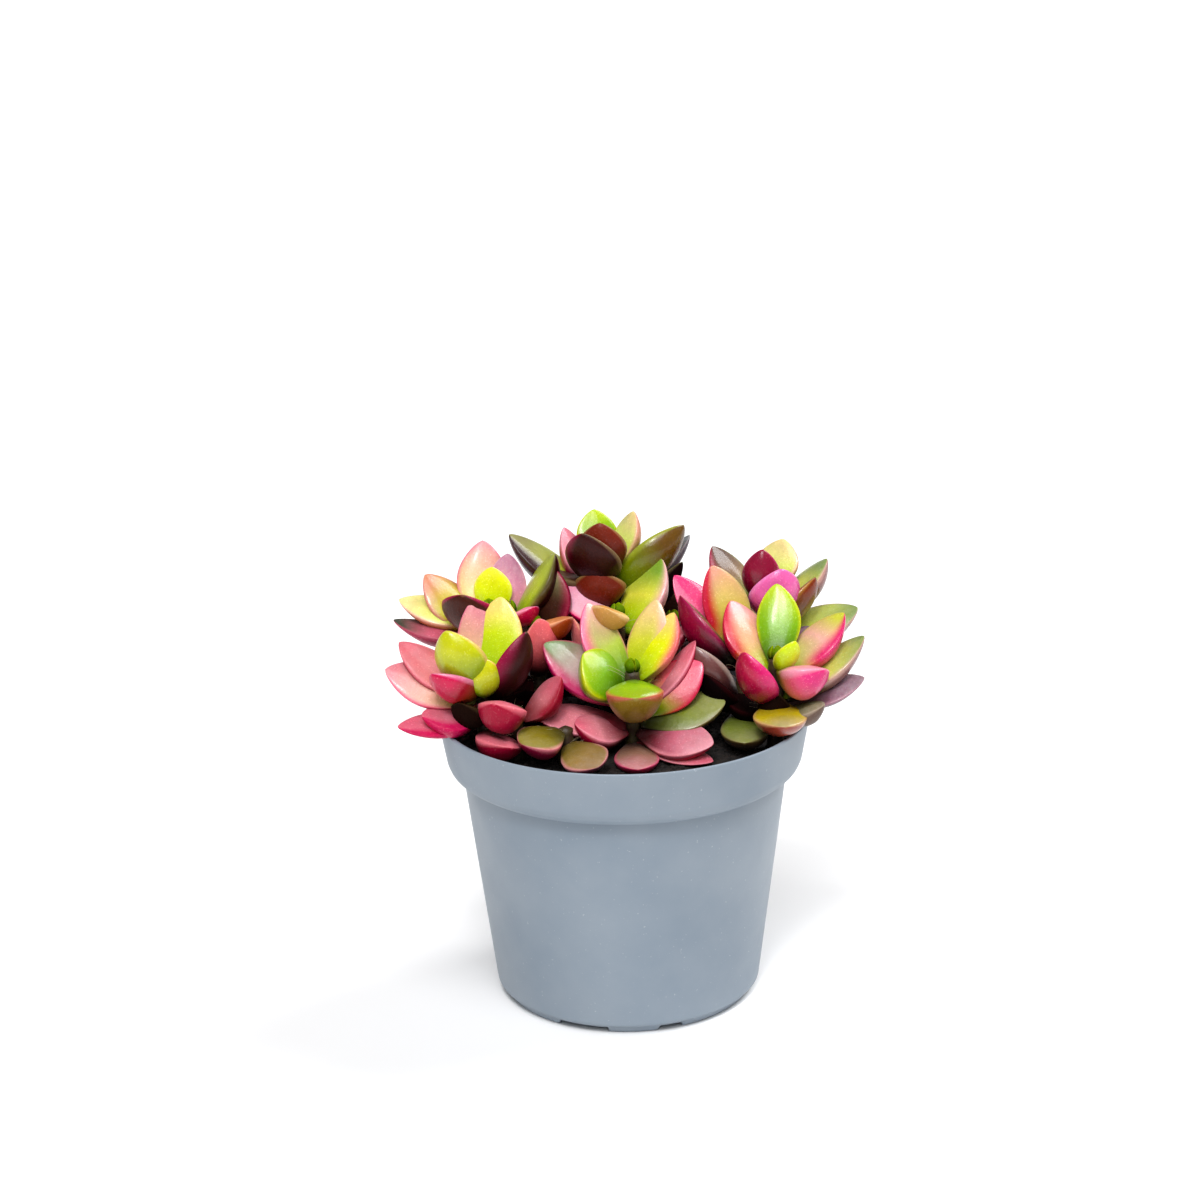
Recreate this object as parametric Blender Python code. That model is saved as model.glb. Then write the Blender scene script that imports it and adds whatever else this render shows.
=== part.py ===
"""Potted anacampseros: a crowded succulent in a plain round grower's pot.

Run it with  blender --background --python part.py  or from Blender's text editor.
Tables and constants are in millimetres and degrees; meshes are built in metres, +Z up,
with the origin on the floor under the middle of the pot.

A turn of 0 points along +X and 90 along +Y. A leaf's rise is its slope above level, its seat is
the share of its stem's height where it grows, and its roll turns it about its own length.
"""
import math
from collections import namedtuple

import bmesh
import bpy
from mathutils import Matrix, Vector

MM = 0.001
GAP = 0.3  # clearance kept between neighbouring pieces
MERGE_DISTANCES = (0.1, 0.05, 0.02, 0.01, 0.003, 0.0)  # tried in turn after a cut

# Pot
POT_HEIGHT = 67.3
RIM_RADIUS = 42.5
COLLAR_FOOT = (56.8, 40.7)  # height and radius where the collar's face starts
CREASE_HEIGHT = 54.2  # where the collar meets the wall
WALL_RADIUS_AT_FLOOR = 30.36
WALL_TAPER = 0.128  # radius gained for each millimetre of height
WALL_THICKNESS = 1.2
FOOT_RADIUS = 29.1
FOOT_LINE = 2.3  # height of the fine ridge above the foot
BASE_UNDERSIDE = 1.8
BASE_THICKNESS = 1.2
POT_SEGMENTS = 48
DRAIN_HOLE_RADIUS = 2.5
DRAIN_HOLE_CIRCLE = 20.0
DRAIN_HOLES = 6
DRAIN_HOLE_SIDES = 10
DRAIN_HOLE_SHIFT = 0.3  # share of a step by which the holes are turned from +X
NOTCH_HEIGHT = 1.3
FOOT_THIRDS = 3
WIDE_NOTCH = (-111.3, 24.3)  # turn of its middle, and its angle
NARROW_NOTCH = (-71.0, 12.0)

# Soil
SOIL_EDGE = 61.0
SOIL_MIDDLE = 61.6
SOIL_SEGMENTS = 32
SOCKET_DEPTH = 6.0  # how far a stem's foot stands in the soil

# Stems and leaves
STEM_RADIUS = 2.0
STEM_SIDES = 8
LEAF_SEAT_RADIUS = 1.7  # from the stem's axis to a leaf's base
LEAF_SIDES = 8
LEAF_STATIONS = (0.0, 0.16, 0.36, 0.56, 0.76, 0.91)
WIDEST_AT = 0.52  # share of the length where a leaf is widest
BASE_WIDTH = 0.36  # base width as a share of the widest
DEEPEST_AT = 0.42
LEAF_BOW = 0.12  # how far the leaf bows down between its ends, as a share of its length
LEAF_CROWN = 0.24  # height of the upper face's crown, as a share of the thickness
CROWN_POWER = 1.5  # above 1 the upper face meets the margins at an edge
TIP_POWER = 0.68  # below 1 the leaf's outline and belly stay full towards the tip

TONES = {
    "lime": (0.50, 0.60, 0.03),
    "green": (0.25, 0.42, 0.03),
    "cream": (0.75, 0.68, 0.25),
    "pale_pink": (0.72, 0.30, 0.32),
    "rose": (0.62, 0.12, 0.18),
    "magenta": (0.40, 0.02, 0.10),
    "maroon": (0.10, 0.02, 0.02),
    "grey_green": (0.25, 0.28, 0.14),
    "dusky": (0.30, 0.18, 0.19),
}

Leaf = namedtuple("Leaf", "turn rise length width seat roll tone thickness", defaults=(0.42,))
Rosette = namedtuple("Rosette", "name foot crown heart leaves")

# The heart's leaves are grown together with the stem; the others are pieces of their own.
ROSETTES = (
    Rosette("front_left", (-31, -12), (-31, -12, 80), heart=(
        Leaf(-140, 62, 17.5, 12, 0.84, 35, "lime", 0.36),
        Leaf(67, 64, 19, 12, 0.90, 0, "lime"),
        Leaf(105, 68, 21, 9.5, 0.72, -10, "pale_pink"),
        Leaf(-88, 66, 10.5, 9, 0.80, 0, "lime"),
        Leaf(55, 18, 15, 10, 0.50, 0, "maroon"),
        Leaf(-120, 36, 10, 9, 0.48, 0, "maroon"),
    ), leaves=(
        Leaf(-15, 62, 18, 10, 0.72, -30, "maroon"),
        Leaf(-141, 27, 14, 10, 0.84, 25, "magenta", 0.44),
        Leaf(176, 17, 21.4, 11.5, 0.72, -38, "pale_pink"),
        Leaf(-156, 8, 13.5, 10.5, 0.50, -15, "rose"),
        Leaf(-162, 1, 18.5, 9.5, 0.45, -14, "rose", 0.28),
        Leaf(-64, 2, 13, 11, 0.29, -15, "rose"),
        Leaf(167, 31, 20.8, 10, 0.77, -25, "pale_pink"),
        Leaf(100, 20, 15, 10, 0.40, 0, "rose"),
    )),
    Rosette("back_left", (-30, 8), (-30.5, 9, 88), heart=(
        Leaf(98, 60, 20, 12, 0.87, 0, "pale_pink"),
        Leaf(75, 82, 11.3, 9.2, 0.95, 0, "green"),
        Leaf(-115, 40, 14, 15, 0.95, 0, "maroon", 0.36),
        Leaf(-100, 25, 13, 10, 0.45, 0, "maroon"),
        Leaf(125, 6, 13, 9, 0.35, 0, "rose"),
    ), leaves=(
        Leaf(160, 40, 18.5, 11, 0.84, -25, "cream"),
        Leaf(170, 12, 20, 10, 0.93, -20, "cream"),
        Leaf(175, 9, 21, 8.5, 0.80, -8, "rose"),
        Leaf(110, 32, 18, 10, 0.66, 0, "pale_pink"),
        Leaf(60, 30, 18, 10, 0.60, 0, "grey_green"),
    )),
    Rosette("back_centre", (-4, 16), (-4, 18, 98), heart=(
        Leaf(105, 60, 13, 10, 0.95, 0, "green"),
        Leaf(-95, 64, 15, 11.5, 0.92, 0, "maroon", 0.34),
        Leaf(30, 62, 14, 9.5, 0.93, 0, "cream"),
        Leaf(150, 56, 16, 9.5, 0.80, 0, "pale_pink"),
        Leaf(-100, 45, 11, 12, 0.77, 0, "maroon"),
        Leaf(50, 22, 17, 10, 0.50, 0, "rose"),
        Leaf(-165, 17, 15, 10, 0.85, 0, "maroon"),
        Leaf(-140, 12, 14, 10, 0.50, 0, "maroon"),
        Leaf(-35, 14, 14, 10, 0.50, 0, "maroon"),
        Leaf(95, 12, 12, 9.5, 0.28, 0, "rose"),
    ), leaves=(
        Leaf(-112, 54, 17.5, 13.5, 0.86, 0, "maroon", 0.30),
        Leaf(176, 36, 25, 11.5, 0.75, -15, "maroon"),
        Leaf(0, 41, 22.5, 12, 0.80, -50, "maroon"),
        Leaf(13, 38, 24, 9.5, 0.70, 0, "dusky"),
        Leaf(-10, 42, 22.5, 11, 0.58, -20, "maroon"),
        Leaf(85, 36, 19, 10, 0.70, 0, "grey_green"),
        Leaf(130, 26, 18, 10, 0.50, 0, "pale_pink"),
    )),
    Rosette("middle", (-1, 3), (-1, 4, 88), heart=(
        Leaf(150, 33, 17.8, 10.5, 0.91, -15, "pale_pink"),
        Leaf(-105, 25, 9.5, 9, 1.04, -15, "cream"),
        Leaf(40, 52, 19, 12.5, 0.85, 0, "cream"),
        Leaf(-165, 58, 16.5, 9, 0.50, 0, "rose"),
        Leaf(-165, 25, 15, 10, 0.42, 0, "maroon"),
        Leaf(-12, 12, 15, 10, 0.35, 0, "maroon"),
        Leaf(60, 14, 13, 10, 0.30, 0, "rose"),
    ), leaves=(
        Leaf(100, 36, 16, 10, 0.62, 0, "rose"),
        Leaf(5, 28, 17, 10, 0.60, 0, "rose"),
    )),
    Rosette("front_centre", (2, -12), (2, -12, 80), heart=(
        Leaf(60, 62, 21.5, 9.8, 0.71, 0, "lime"),
        Leaf(40, 50, 17, 10, 0.90, 0, "lime"),
        Leaf(133, 53, 21, 10.5, 0.80, -5, "green"),
        Leaf(-175, 47, 13.5, 13.5, 0.72, -35, "green"),
        Leaf(-87, 2, 12.3, 12.8, 0.90, 0, "green", 0.58),
        Leaf(25, 45, 20, 8, 0.50, 0, "rose"),
        Leaf(100, 25, 14, 10, 0.30, 0, "maroon"),
    ), leaves=(
        Leaf(170, 34, 22, 13.2, 0.65, -30, "grey_green"),
        Leaf(10, 35, 17.5, 11.5, 0.50, 45, "rose"),
        Leaf(-171, 10.5, 21, 10, 0.34, -24, "rose", 0.36),
        Leaf(-155, 16, 13, 10.5, 0.27, -20, "rose", 0.48),
        Leaf(-31, -1, 18.8, 11, 0.28, 25, "pale_pink"),
        Leaf(0, 12, 19.5, 12.5, 0.38, 25, "grey_green"),
        Leaf(-87, -1, 15.5, 10, 0.11, 0, "dusky", 0.34),
        Leaf(-32, -5, 19, 8, 0.14, 10, "rose", 0.24),
    )),
    Rosette("front_right", (34, -11), (34, -11, 82), heart=(
        Leaf(85, 58, 18, 10, 0.95, 0, "green"),
        Leaf(130, 47, 19, 12.5, 0.83, 0, "pale_pink"),
        Leaf(-60, 55, 10.3, 5.8, 0.90, -15, "lime"),
        Leaf(20, 38, 19, 11.5, 0.86, 10, "pale_pink"),
        Leaf(-40, 18, 12, 9, 0.42, 10, "grey_green"),
        Leaf(-100, 66, 9, 7.5, 0.30, 0, "maroon"),
        Leaf(150, 20, 12, 9, 0.35, 0, "maroon"),
    ), leaves=(
        Leaf(-135, 57, 15.5, 10.8, 0.57, 0, "magenta"),
        Leaf(-42, 15, 12.8, 11.5, 0.87, -18, "rose", 0.52),
        Leaf(10, 34, 22.5, 10.5, 0.58, 10, "grey_green"),
        Leaf(0, 17, 19, 9.5, 0.50, 20, "dusky", 0.30),
        Leaf(-85, -4, 13.5, 12, 0.53, 0, "grey_green", 0.38),
    )),
    Rosette("back_right", (32, 12), (33, 13, 92), heart=(
        Leaf(-98, 74, 14.5, 9, 0.88, 0, "magenta"),
        Leaf(55, 57, 12, 11, 0.97, 0, "cream"),
        Leaf(-70, 58, 15, 12.5, 0.80, 0, "pale_pink"),
        Leaf(-8, 14, 13, 9, 0.60, 10, "dusky"),
        Leaf(-155, 20, 15, 10, 0.45, 0, "maroon"),
        Leaf(35, 8, 13, 9, 0.30, 0, "rose"),
    ), leaves=(
        Leaf(150, 46, 17, 10, 0.85, -15, "pale_pink"),
        Leaf(14, 41, 18, 11, 0.78, 0, "grey_green"),
        Leaf(0, 16, 21, 12, 0.62, 25, "grey_green"),
        Leaf(-17, 46, 15, 10.5, 0.74, -10, "maroon"),
        Leaf(110, 32, 18, 10, 0.65, 0, "pale_pink"),
        Leaf(60, 24, 18, 10, 0.50, 0, "grey_green"),
    )),
    Rosette("left_middle", (-25, 7), (-26, 8, 88), heart=(
        Leaf(12, 56, 16.8, 12, 0.98, 0, "maroon"),
        Leaf(92, 64, 16.5, 9.5, 0.88, 0, "dusky"),
        Leaf(-50, 28, 9, 7.5, 0.98, 0, "magenta"),
        Leaf(-32, 14, 9.5, 8, 0.77, 0, "rose"),
        Leaf(-95, 30, 12, 9, 0.50, 0, "maroon"),
    ), leaves=()),
    Rosette("centre_left", (-19, 2), (-20, 3, 86), heart=(
        Leaf(54, 72, 17, 12, 0.86, 0, "maroon"),
        Leaf(-44, 20, 9.5, 10, 1.04, 0, "dusky"),
        Leaf(-85, 62, 17, 9.5, 0.60, 25, "rose"),
        Leaf(-100, 32, 12, 9, 0.30, 0, "maroon"),
        Leaf(-15, 30, 14, 9.5, 0.42, 0, "maroon"),
    ), leaves=()),
    Rosette("right_middle", (26, -3), (28, -3, 83), heart=(
        Leaf(140, 68, 21, 11, 0.88, -30, "pale_pink"),
        Leaf(158, 46, 20, 11.8, 0.80, 35, "magenta"),
        Leaf(-165, 54, 17, 9.5, 0.40, 45, "dusky"),
        Leaf(150, 44, 23, 9.5, 0.90, -30, "rose"),
        Leaf(-140, 45, 13, 9.5, 0.36, 0, "maroon"),
        Leaf(165, 34, 15.5, 10, 0.45, 0, "rose"),
    ), leaves=(
        Leaf(-90, -5, 16.2, 11, 0.27, 0, "grey_green"),
    )),
    Rosette("low_left", (-24, -15), (-24, -15, 73), heart=(
        Leaf(-5, 48, 13, 9.5, 0.80, 25, "rose"),
        Leaf(-114, 27, 10, 11.5, 1.00, 0, "rose", 0.50),
        Leaf(70, 30, 10, 8, 0.40, 0, "maroon"),
    ), leaves=()),
    Rosette("low_front", (-13, -18), (-13, -18, 69), heart=(
        Leaf(-141, -2, 10.8, 11.5, 1.00, -10, "grey_green"),
        Leaf(-62, -4, 13.6, 10.5, 0.58, 15, "dusky", 0.34),
    ), leaves=()),
    Rosette("low_back_left", (-18, 24), (-18, 25, 76), heart=(
        Leaf(90, 36, 15.5, 9, 0.85, 0, "pale_pink"),
        Leaf(150, 30, 16, 9, 0.80, 0, "rose"),
        Leaf(30, 32, 16, 9, 0.80, 0, "grey_green"),
        Leaf(-150, 48, 12, 8.5, 0.95, 0, "maroon"),
        Leaf(-30, 48, 12, 8.5, 0.95, 0, "maroon"),
        Leaf(95, 72, 11, 8.5, 1.00, 0, "green"),
        Leaf(60, 6, 12, 9, 0.40, 0, "dusky"),
        Leaf(130, 10, 12, 9, 0.62, 0, "rose"),
    ), leaves=()),
    Rosette("low_back_middle", (12, 26), (12, 26.5, 79), heart=(
        Leaf(90, 36, 14, 9, 0.85, 0, "rose"),
        Leaf(150, 30, 16, 9, 0.80, 0, "pale_pink"),
        Leaf(30, 32, 15, 9, 0.80, 0, "rose"),
        Leaf(-150, 48, 12, 8.5, 0.95, 0, "maroon"),
        Leaf(-30, 48, 12, 8.5, 0.95, 0, "maroon"),
        Leaf(85, 74, 11, 8.5, 1.00, 0, "maroon"),
        Leaf(60, 10, 11, 9, 0.60, 0, "rose"),
        Leaf(125, 6, 12, 9, 0.40, 0, "dusky"),
    ), leaves=()),
    Rosette("low_back_right", (31.5, 24), (32.5, 24.6, 75), heart=(
        Leaf(95, 34, 13, 9, 0.85, 0, "pale_pink"),
        Leaf(35, 30, 12.5, 9, 0.80, 0, "rose"),
        Leaf(165, 40, 13, 9, 0.90, 0, "grey_green"),
        Leaf(-58, 42, 11, 8.5, 0.88, 0, "maroon"),
        Leaf(66, 70, 10, 8, 1.00, 0, "green"),
        Leaf(125, 12, 10.5, 9, 0.75, 0, "rose"),
    ), leaves=()),
)


def clear_scene():
    for leftover in list(bpy.data.objects):
        bpy.data.objects.remove(leftover, do_unlink=True)


def material(name, colour, roughness):
    found = bpy.data.materials.get(name)
    if found:
        return found
    made = bpy.data.materials.new(name)
    made.use_nodes = True
    shader = made.node_tree.nodes["Principled BSDF"]
    shader.inputs["Base Color"].default_value = (*colour, 1.0)
    shader.inputs["Roughness"].default_value = roughness
    shader.inputs["Metallic"].default_value = 0.0
    return made


def mesh_object(name, verts, faces, finish=None):
    """Make an object from vertices in millimetres, faces outward and shaded smooth."""
    mesh = bpy.data.meshes.new(name)
    work = bmesh.new()
    points = [work.verts.new(Vector(vert) * MM) for vert in verts]
    for face in faces:
        work.faces.new([points[index] for index in face])
    bmesh.ops.recalc_face_normals(work, faces=work.faces)
    work.to_mesh(mesh)
    work.free()
    mesh.shade_smooth()
    made = bpy.data.objects.new(name, mesh)
    bpy.context.collection.objects.link(made)
    if finish:
        mesh.materials.append(finish)
    return made


def swell(piece, distance):
    """Move every vertex of a closed piece outward by a distance in millimetres."""
    work = bmesh.new()
    work.from_mesh(piece.data)
    for vert, normal in [(vert, vert.normal.copy()) for vert in work.verts]:
        vert.co += normal * distance * MM
    work.to_mesh(piece.data)
    work.free()


def combine(piece, others, operation):
    """Apply Boolean operations with other closed pieces, then drop loose crumbs."""
    for other in others:
        step = piece.modifiers.new("combine", "BOOLEAN")
        step.operation = operation
        step.solver = "EXACT"
        step.object = other
    bpy.context.view_layer.update()
    shown = piece.evaluated_get(bpy.context.evaluated_depsgraph_get())
    result = bpy.data.meshes.new_from_object(shown)
    piece.modifiers.clear()
    finish = piece.data.materials[0] if piece.data.materials else None
    piece.data = result
    result.materials.clear()
    if finish:
        result.materials.append(finish)
    tidy_cut(result)
    result.shade_smooth()


def connected_parts(work):
    """Split a bmesh's faces into groups that are joined by edges."""
    unseen = set(work.faces)
    parts = []
    while unseen:
        front = [unseen.pop()]
        part = list(front)
        while front:
            for edge in front.pop().edges:
                fresh = [face for face in edge.link_faces if face in unseen]
                unseen.difference_update(fresh)
                front.extend(fresh)
                part.extend(fresh)
        parts.append(part)
    return parts


def drop_crumbs(work):
    """Keep only the largest connected part of a bmesh."""
    parts = connected_parts(work)
    parts.sort(key=lambda part: sum(face.calc_area() for face in part))
    crumbs = [face for part in parts[:-1] for face in part]
    bmesh.ops.delete(work, geom=crumbs, context="FACES")


def tidy_cut(mesh):
    """Merge what a cut left too close together, as far as the surface stays closed; drop crumbs."""
    for distance in MERGE_DISTANCES:
        work = bmesh.new()
        work.from_mesh(mesh)
        bmesh.ops.remove_doubles(work, verts=work.verts, dist=distance * MM)
        bmesh.ops.dissolve_degenerate(work, edges=work.edges, dist=distance * MM)
        closed = all(len(edge.link_faces) == 2 for edge in work.edges)
        if closed:
            drop_crumbs(work)
            work.to_mesh(mesh)
        work.free()
        if closed:
            return


def corners(piece):
    """Lowest and highest corner of a piece's mesh, in metres."""
    spots = [vert.co for vert in piece.data.vertices]
    low = Vector([min(spot[axis] for spot in spots) for axis in range(3)])
    high = Vector([max(spot[axis] for spot in spots) for axis in range(3)])
    return low, high


def boxes_meet(one, other):
    return all(one[0][axis] < other[1][axis] and other[0][axis] < one[1][axis] for axis in range(3))


def turned(name, profile, segments, finish):
    """Turn a profile of (radius, height) points about the vertical axis; its ends lie on the axis."""
    verts = []
    rings = []
    for radius, height in profile:
        if radius == 0:
            rings.append([len(verts)] * segments)
            verts.append((0, 0, height))
            continue
        rings.append(list(range(len(verts), len(verts) + segments)))
        for step in range(segments):
            angle = 2 * math.pi * step / segments
            verts.append((radius * math.cos(angle), radius * math.sin(angle), height))
    faces = []
    for ring, above in zip(rings, rings[1:]):
        for step in range(segments):
            after = (step + 1) % segments
            corner_loop = (ring[step], ring[after], above[after], above[step])
            faces.append(tuple(dict.fromkeys(corner_loop)))
    return mesh_object(name, verts, faces, finish)


def wedge(name, middle_turn, angle, radii, heights):
    """A block bent round the pot's axis between two radii and two heights, used as a cutter."""
    steps = 6
    verts = []
    for height in heights:
        for radius in radii:
            for step in range(steps + 1):
                turn = math.radians(middle_turn + angle * (step / steps - 0.5))
                verts.append((radius * math.cos(turn), radius * math.sin(turn), height))
    count = steps + 1
    faces = []
    for step in range(steps):
        low_in, low_out, high_in, high_out = (row * count + step for row in range(4))
        faces.append((low_in, low_in + 1, low_out + 1, low_out))
        faces.append((high_in, high_in + 1, high_out + 1, high_out))
        faces.append((low_in, low_in + 1, high_in + 1, high_in))
        faces.append((low_out, low_out + 1, high_out + 1, high_out))
    for end in (0, steps):
        faces.append((end, count + end, 3 * count + end, 2 * count + end))
    return mesh_object(name, verts, faces)


def wall_radius(height):
    return WALL_RADIUS_AT_FLOOR + WALL_TAPER * height


def pot_profile():
    """Radius and height, from the underside's middle out, up the outside and down the inside."""
    crease = wall_radius(CREASE_HEIGHT)
    inner_floor = BASE_UNDERSIDE + BASE_THICKNESS
    return (
        (0, BASE_UNDERSIDE),
        (FOOT_RADIUS - 1.6, BASE_UNDERSIDE),
        (FOOT_RADIUS - 1.4, 0),
        (FOOT_RADIUS - 0.3, 0),
        (FOOT_RADIUS + 0.6, FOOT_LINE - 0.5),
        (wall_radius(FOOT_LINE), FOOT_LINE),
        (crease, CREASE_HEIGHT),
        (crease + 1.3, CREASE_HEIGHT),
        (crease + 2.8, CREASE_HEIGHT + 1.2),
        (COLLAR_FOOT[1], COLLAR_FOOT[0]),
        (RIM_RADIUS, POT_HEIGHT - 0.3),
        (RIM_RADIUS - 0.3, POT_HEIGHT),
        (RIM_RADIUS - 1.0, POT_HEIGHT - 0.3),
        (COLLAR_FOOT[1] - 1.3, COLLAR_FOOT[0] + 0.6),
        (crease - WALL_THICKNESS, CREASE_HEIGHT + 0.6),
        (wall_radius(inner_floor) - WALL_THICKNESS, inner_floor),
        (0, inner_floor),
    )


def build_pot():
    pot = turned("pot", pot_profile(), POT_SEGMENTS, material("pot_plastic", (0.27, 0.32, 0.38), 0.55))
    cutters = []
    for third in range(FOOT_THIRDS):
        for middle, angle in (WIDE_NOTCH, NARROW_NOTCH):
            turn = middle + third * 360 / FOOT_THIRDS
            across = (FOOT_RADIUS - 3, FOOT_RADIUS + 3)
            cutters.append(wedge("notch_cutter", turn, angle, across, (-1, NOTCH_HEIGHT)))
    rod = ((0, 0.5), (DRAIN_HOLE_RADIUS, 0.5), (DRAIN_HOLE_RADIUS, 5), (0, 5))
    for hole in range(DRAIN_HOLES):
        angle = 2 * math.pi * (hole + DRAIN_HOLE_SHIFT) / DRAIN_HOLES
        spot = Vector((math.cos(angle), math.sin(angle), 0)) * DRAIN_HOLE_CIRCLE
        cutter = turned("drain_cutter", rod, DRAIN_HOLE_SIDES, None)
        cutter.data.transform(Matrix.Translation(spot * MM))
        cutters.append(cutter)
    combine(pot, cutters, "DIFFERENCE")
    discard(cutters)
    return pot


def soil_profile():
    base = BASE_UNDERSIDE + BASE_THICKNESS + GAP
    shoulder = CREASE_HEIGHT + 0.6
    inset = WALL_THICKNESS + GAP
    collar_slope = (RIM_RADIUS - COLLAR_FOOT[1]) / (POT_HEIGHT - COLLAR_FOOT[0])
    collar_inside = COLLAR_FOOT[1] - 1.3 - GAP
    return (
        (0, base),
        (wall_radius(base) - inset, base),
        (wall_radius(shoulder) - inset, shoulder),
        (collar_inside - 0.2, COLLAR_FOOT[0] + 0.9),
        (collar_inside + collar_slope * (SOIL_EDGE - COLLAR_FOOT[0] - 0.6) - 0.1, SOIL_EDGE),
        (28.0, SOIL_MIDDLE - 0.2),
        (0, SOIL_MIDDLE),
    )


def build_soil(stem_cutters):
    soil = turned("soil", soil_profile(), SOIL_SEGMENTS, material("soil_dark", (0.01, 0.008, 0.007), 0.95))
    combine(soil, stem_cutters, "DIFFERENCE")
    return soil


def build_stem(rosette):
    """A tapering stem from its foot in the soil up to its crown, closed by a low point."""
    foot = Vector((*rosette.foot, SOIL_EDGE - SOCKET_DEPTH))
    crown = Vector(rosette.crown)
    verts = []
    levels = ((foot, STEM_RADIUS), (foot.lerp(crown, 0.4), STEM_RADIUS), (crown, STEM_RADIUS * 0.9))
    for centre, radius in levels:
        for side in range(STEM_SIDES):
            angle = 2 * math.pi * side / STEM_SIDES
            verts.append(centre + Vector((math.cos(angle), math.sin(angle), 0)) * radius)
    faces = [tuple(range(STEM_SIDES))]
    for level in range(len(levels) - 1):
        for side in range(STEM_SIDES):
            after = (side + 1) % STEM_SIDES
            low = level * STEM_SIDES
            faces.append((low + side, low + after, low + STEM_SIDES + after, low + STEM_SIDES + side))
    tip = len(verts)
    verts.append(crown + Vector((0, 0, STEM_RADIUS)))
    top = (len(levels) - 1) * STEM_SIDES
    for side in range(STEM_SIDES):
        faces.append((top + side, top + (side + 1) % STEM_SIDES, tip))
    finish = material("stem_olive", (0.16, 0.12, 0.03), 0.6)
    return mesh_object(f"{rosette.name}_stem", verts, faces, finish)


def leaf_half_width(leaf, along):
    if along < WIDEST_AT:
        share = BASE_WIDTH + (1 - BASE_WIDTH) * math.sin(math.pi / 2 * along / WIDEST_AT)
    else:
        share = math.cos(math.pi / 2 * (along - WIDEST_AT) / (1 - WIDEST_AT)) ** TIP_POWER
    return leaf.width / 2 * share


def leaf_depth(leaf, along):
    if along < DEEPEST_AT:
        share = 0.5 + 0.5 * math.sin(math.pi / 2 * along / DEEPEST_AT)
    else:
        share = math.cos(math.pi / 2 * (along - DEEPEST_AT) / (1 - DEEPEST_AT)) ** TIP_POWER
    return leaf.thickness * leaf.width * share


def leaf_frame(rosette, leaf):
    """Place a leaf's own axes (length, width, upper face) at its seat on the stem."""
    turn, rise, roll = (math.radians(value) for value in (leaf.turn, leaf.rise, leaf.roll))
    outward = Vector((math.cos(turn), math.sin(turn), 0))
    length_axis = outward * math.cos(rise) + Vector((0, 0, math.sin(rise)))
    upper_axis = -outward * math.sin(rise) + Vector((0, 0, math.cos(rise)))
    side_axis = upper_axis.cross(length_axis)
    rolled_side = side_axis * math.cos(roll) + upper_axis * math.sin(roll)
    rolled_upper = upper_axis * math.cos(roll) - side_axis * math.sin(roll)
    foot = Vector((*rosette.foot, SOIL_EDGE + 1))
    seat = foot.lerp(Vector(rosette.crown), leaf.seat) + outward * LEAF_SEAT_RADIUS
    return seat, length_axis, rolled_side, rolled_upper


def build_leaf(name, rosette, leaf):
    """A thick, pointed leaf: low crown above, deep rounded belly below, bowed along its length."""
    seat, length_axis, side_axis, upper_axis = leaf_frame(rosette, leaf)

    def spot(along, side, up):
        return seat + length_axis * along + side_axis * side + upper_axis * up

    verts = []
    for along in LEAF_STATIONS:
        half = leaf_half_width(leaf, along)
        belly = leaf_depth(leaf, along)
        crown = LEAF_CROWN * leaf.thickness * half * 2
        bow = LEAF_BOW * leaf.length * along * (along - 1)
        for step in range(LEAF_SIDES):
            angle = 2 * math.pi * step / LEAF_SIDES
            level = math.sin(angle)
            height = crown * level ** CROWN_POWER if level > 0 else belly * level
            verts.append(spot(along * leaf.length, half * math.cos(angle), bow + height))
    faces = [tuple(range(LEAF_SIDES))]
    for station in range(len(LEAF_STATIONS) - 1):
        for step in range(LEAF_SIDES):
            after = (step + 1) % LEAF_SIDES
            low = station * LEAF_SIDES
            faces.append((low + step, low + after, low + LEAF_SIDES + after, low + LEAF_SIDES + step))
    tip = len(verts)
    verts.append(spot(leaf.length, 0, 0))
    last = (len(LEAF_STATIONS) - 1) * LEAF_SIDES
    for step in range(LEAF_SIDES):
        faces.append((last + step, last + (step + 1) % LEAF_SIDES, tip))
    return mesh_object(name, verts, faces, material(f"leaf_{leaf.tone}", TONES[leaf.tone], 0.35))


def swollen_copy(piece):
    """A copy that is larger all round by the clearance, for cutting the neighbours."""
    copy = bpy.data.objects.new(f"{piece.name}_cutter", piece.data.copy())
    bpy.context.collection.objects.link(copy)
    copy.hide_render = True
    copy.display_type = "WIRE"
    swell(copy, GAP)
    return copy


def discard(pieces):
    for piece in pieces:
        bpy.data.objects.remove(piece, do_unlink=True)


def cut_clear(piece, cutters):
    """Cut a piece back from every placed neighbour whose box it meets."""
    box = corners(piece)
    near = [cutter for cutter in cutters if boxes_meet(box, corners(cutter))]
    if near:
        combine(piece, near, "DIFFERENCE")


def build_hearts(cutters):
    """Each rosette's stem with its heart leaves as one solid, clear of the hearts before it."""
    stem_cutters = []
    for rosette in ROSETTES:
        stem = build_stem(rosette)
        leaves = [build_leaf("heart_leaf", rosette, leaf) for leaf in rosette.heart]
        fresh = [swollen_copy(piece) for piece in [stem, *leaves]]
        stem_cutters.append(fresh[0])
        if leaves:
            combine(stem, leaves, "UNION")
        cut_clear(stem, cutters)
        cutters.extend(fresh)
        discard(leaves)
    return stem_cutters


def build_outer_leaves(cutters):
    for rosette in ROSETTES:
        for number, leaf in enumerate(rosette.leaves, start=1):
            piece = build_leaf(f"{rosette.name}_leaf_{number}", rosette, leaf)
            fresh = swollen_copy(piece)
            cut_clear(piece, cutters)
            cutters.append(fresh)


def main():
    clear_scene()
    pot = build_pot()
    cutters = [swollen_copy(pot)]
    stem_cutters = build_hearts(cutters)
    soil = build_soil(stem_cutters)
    cutters.append(swollen_copy(soil))
    build_outer_leaves(cutters)
    discard(cutters)


main()
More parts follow.
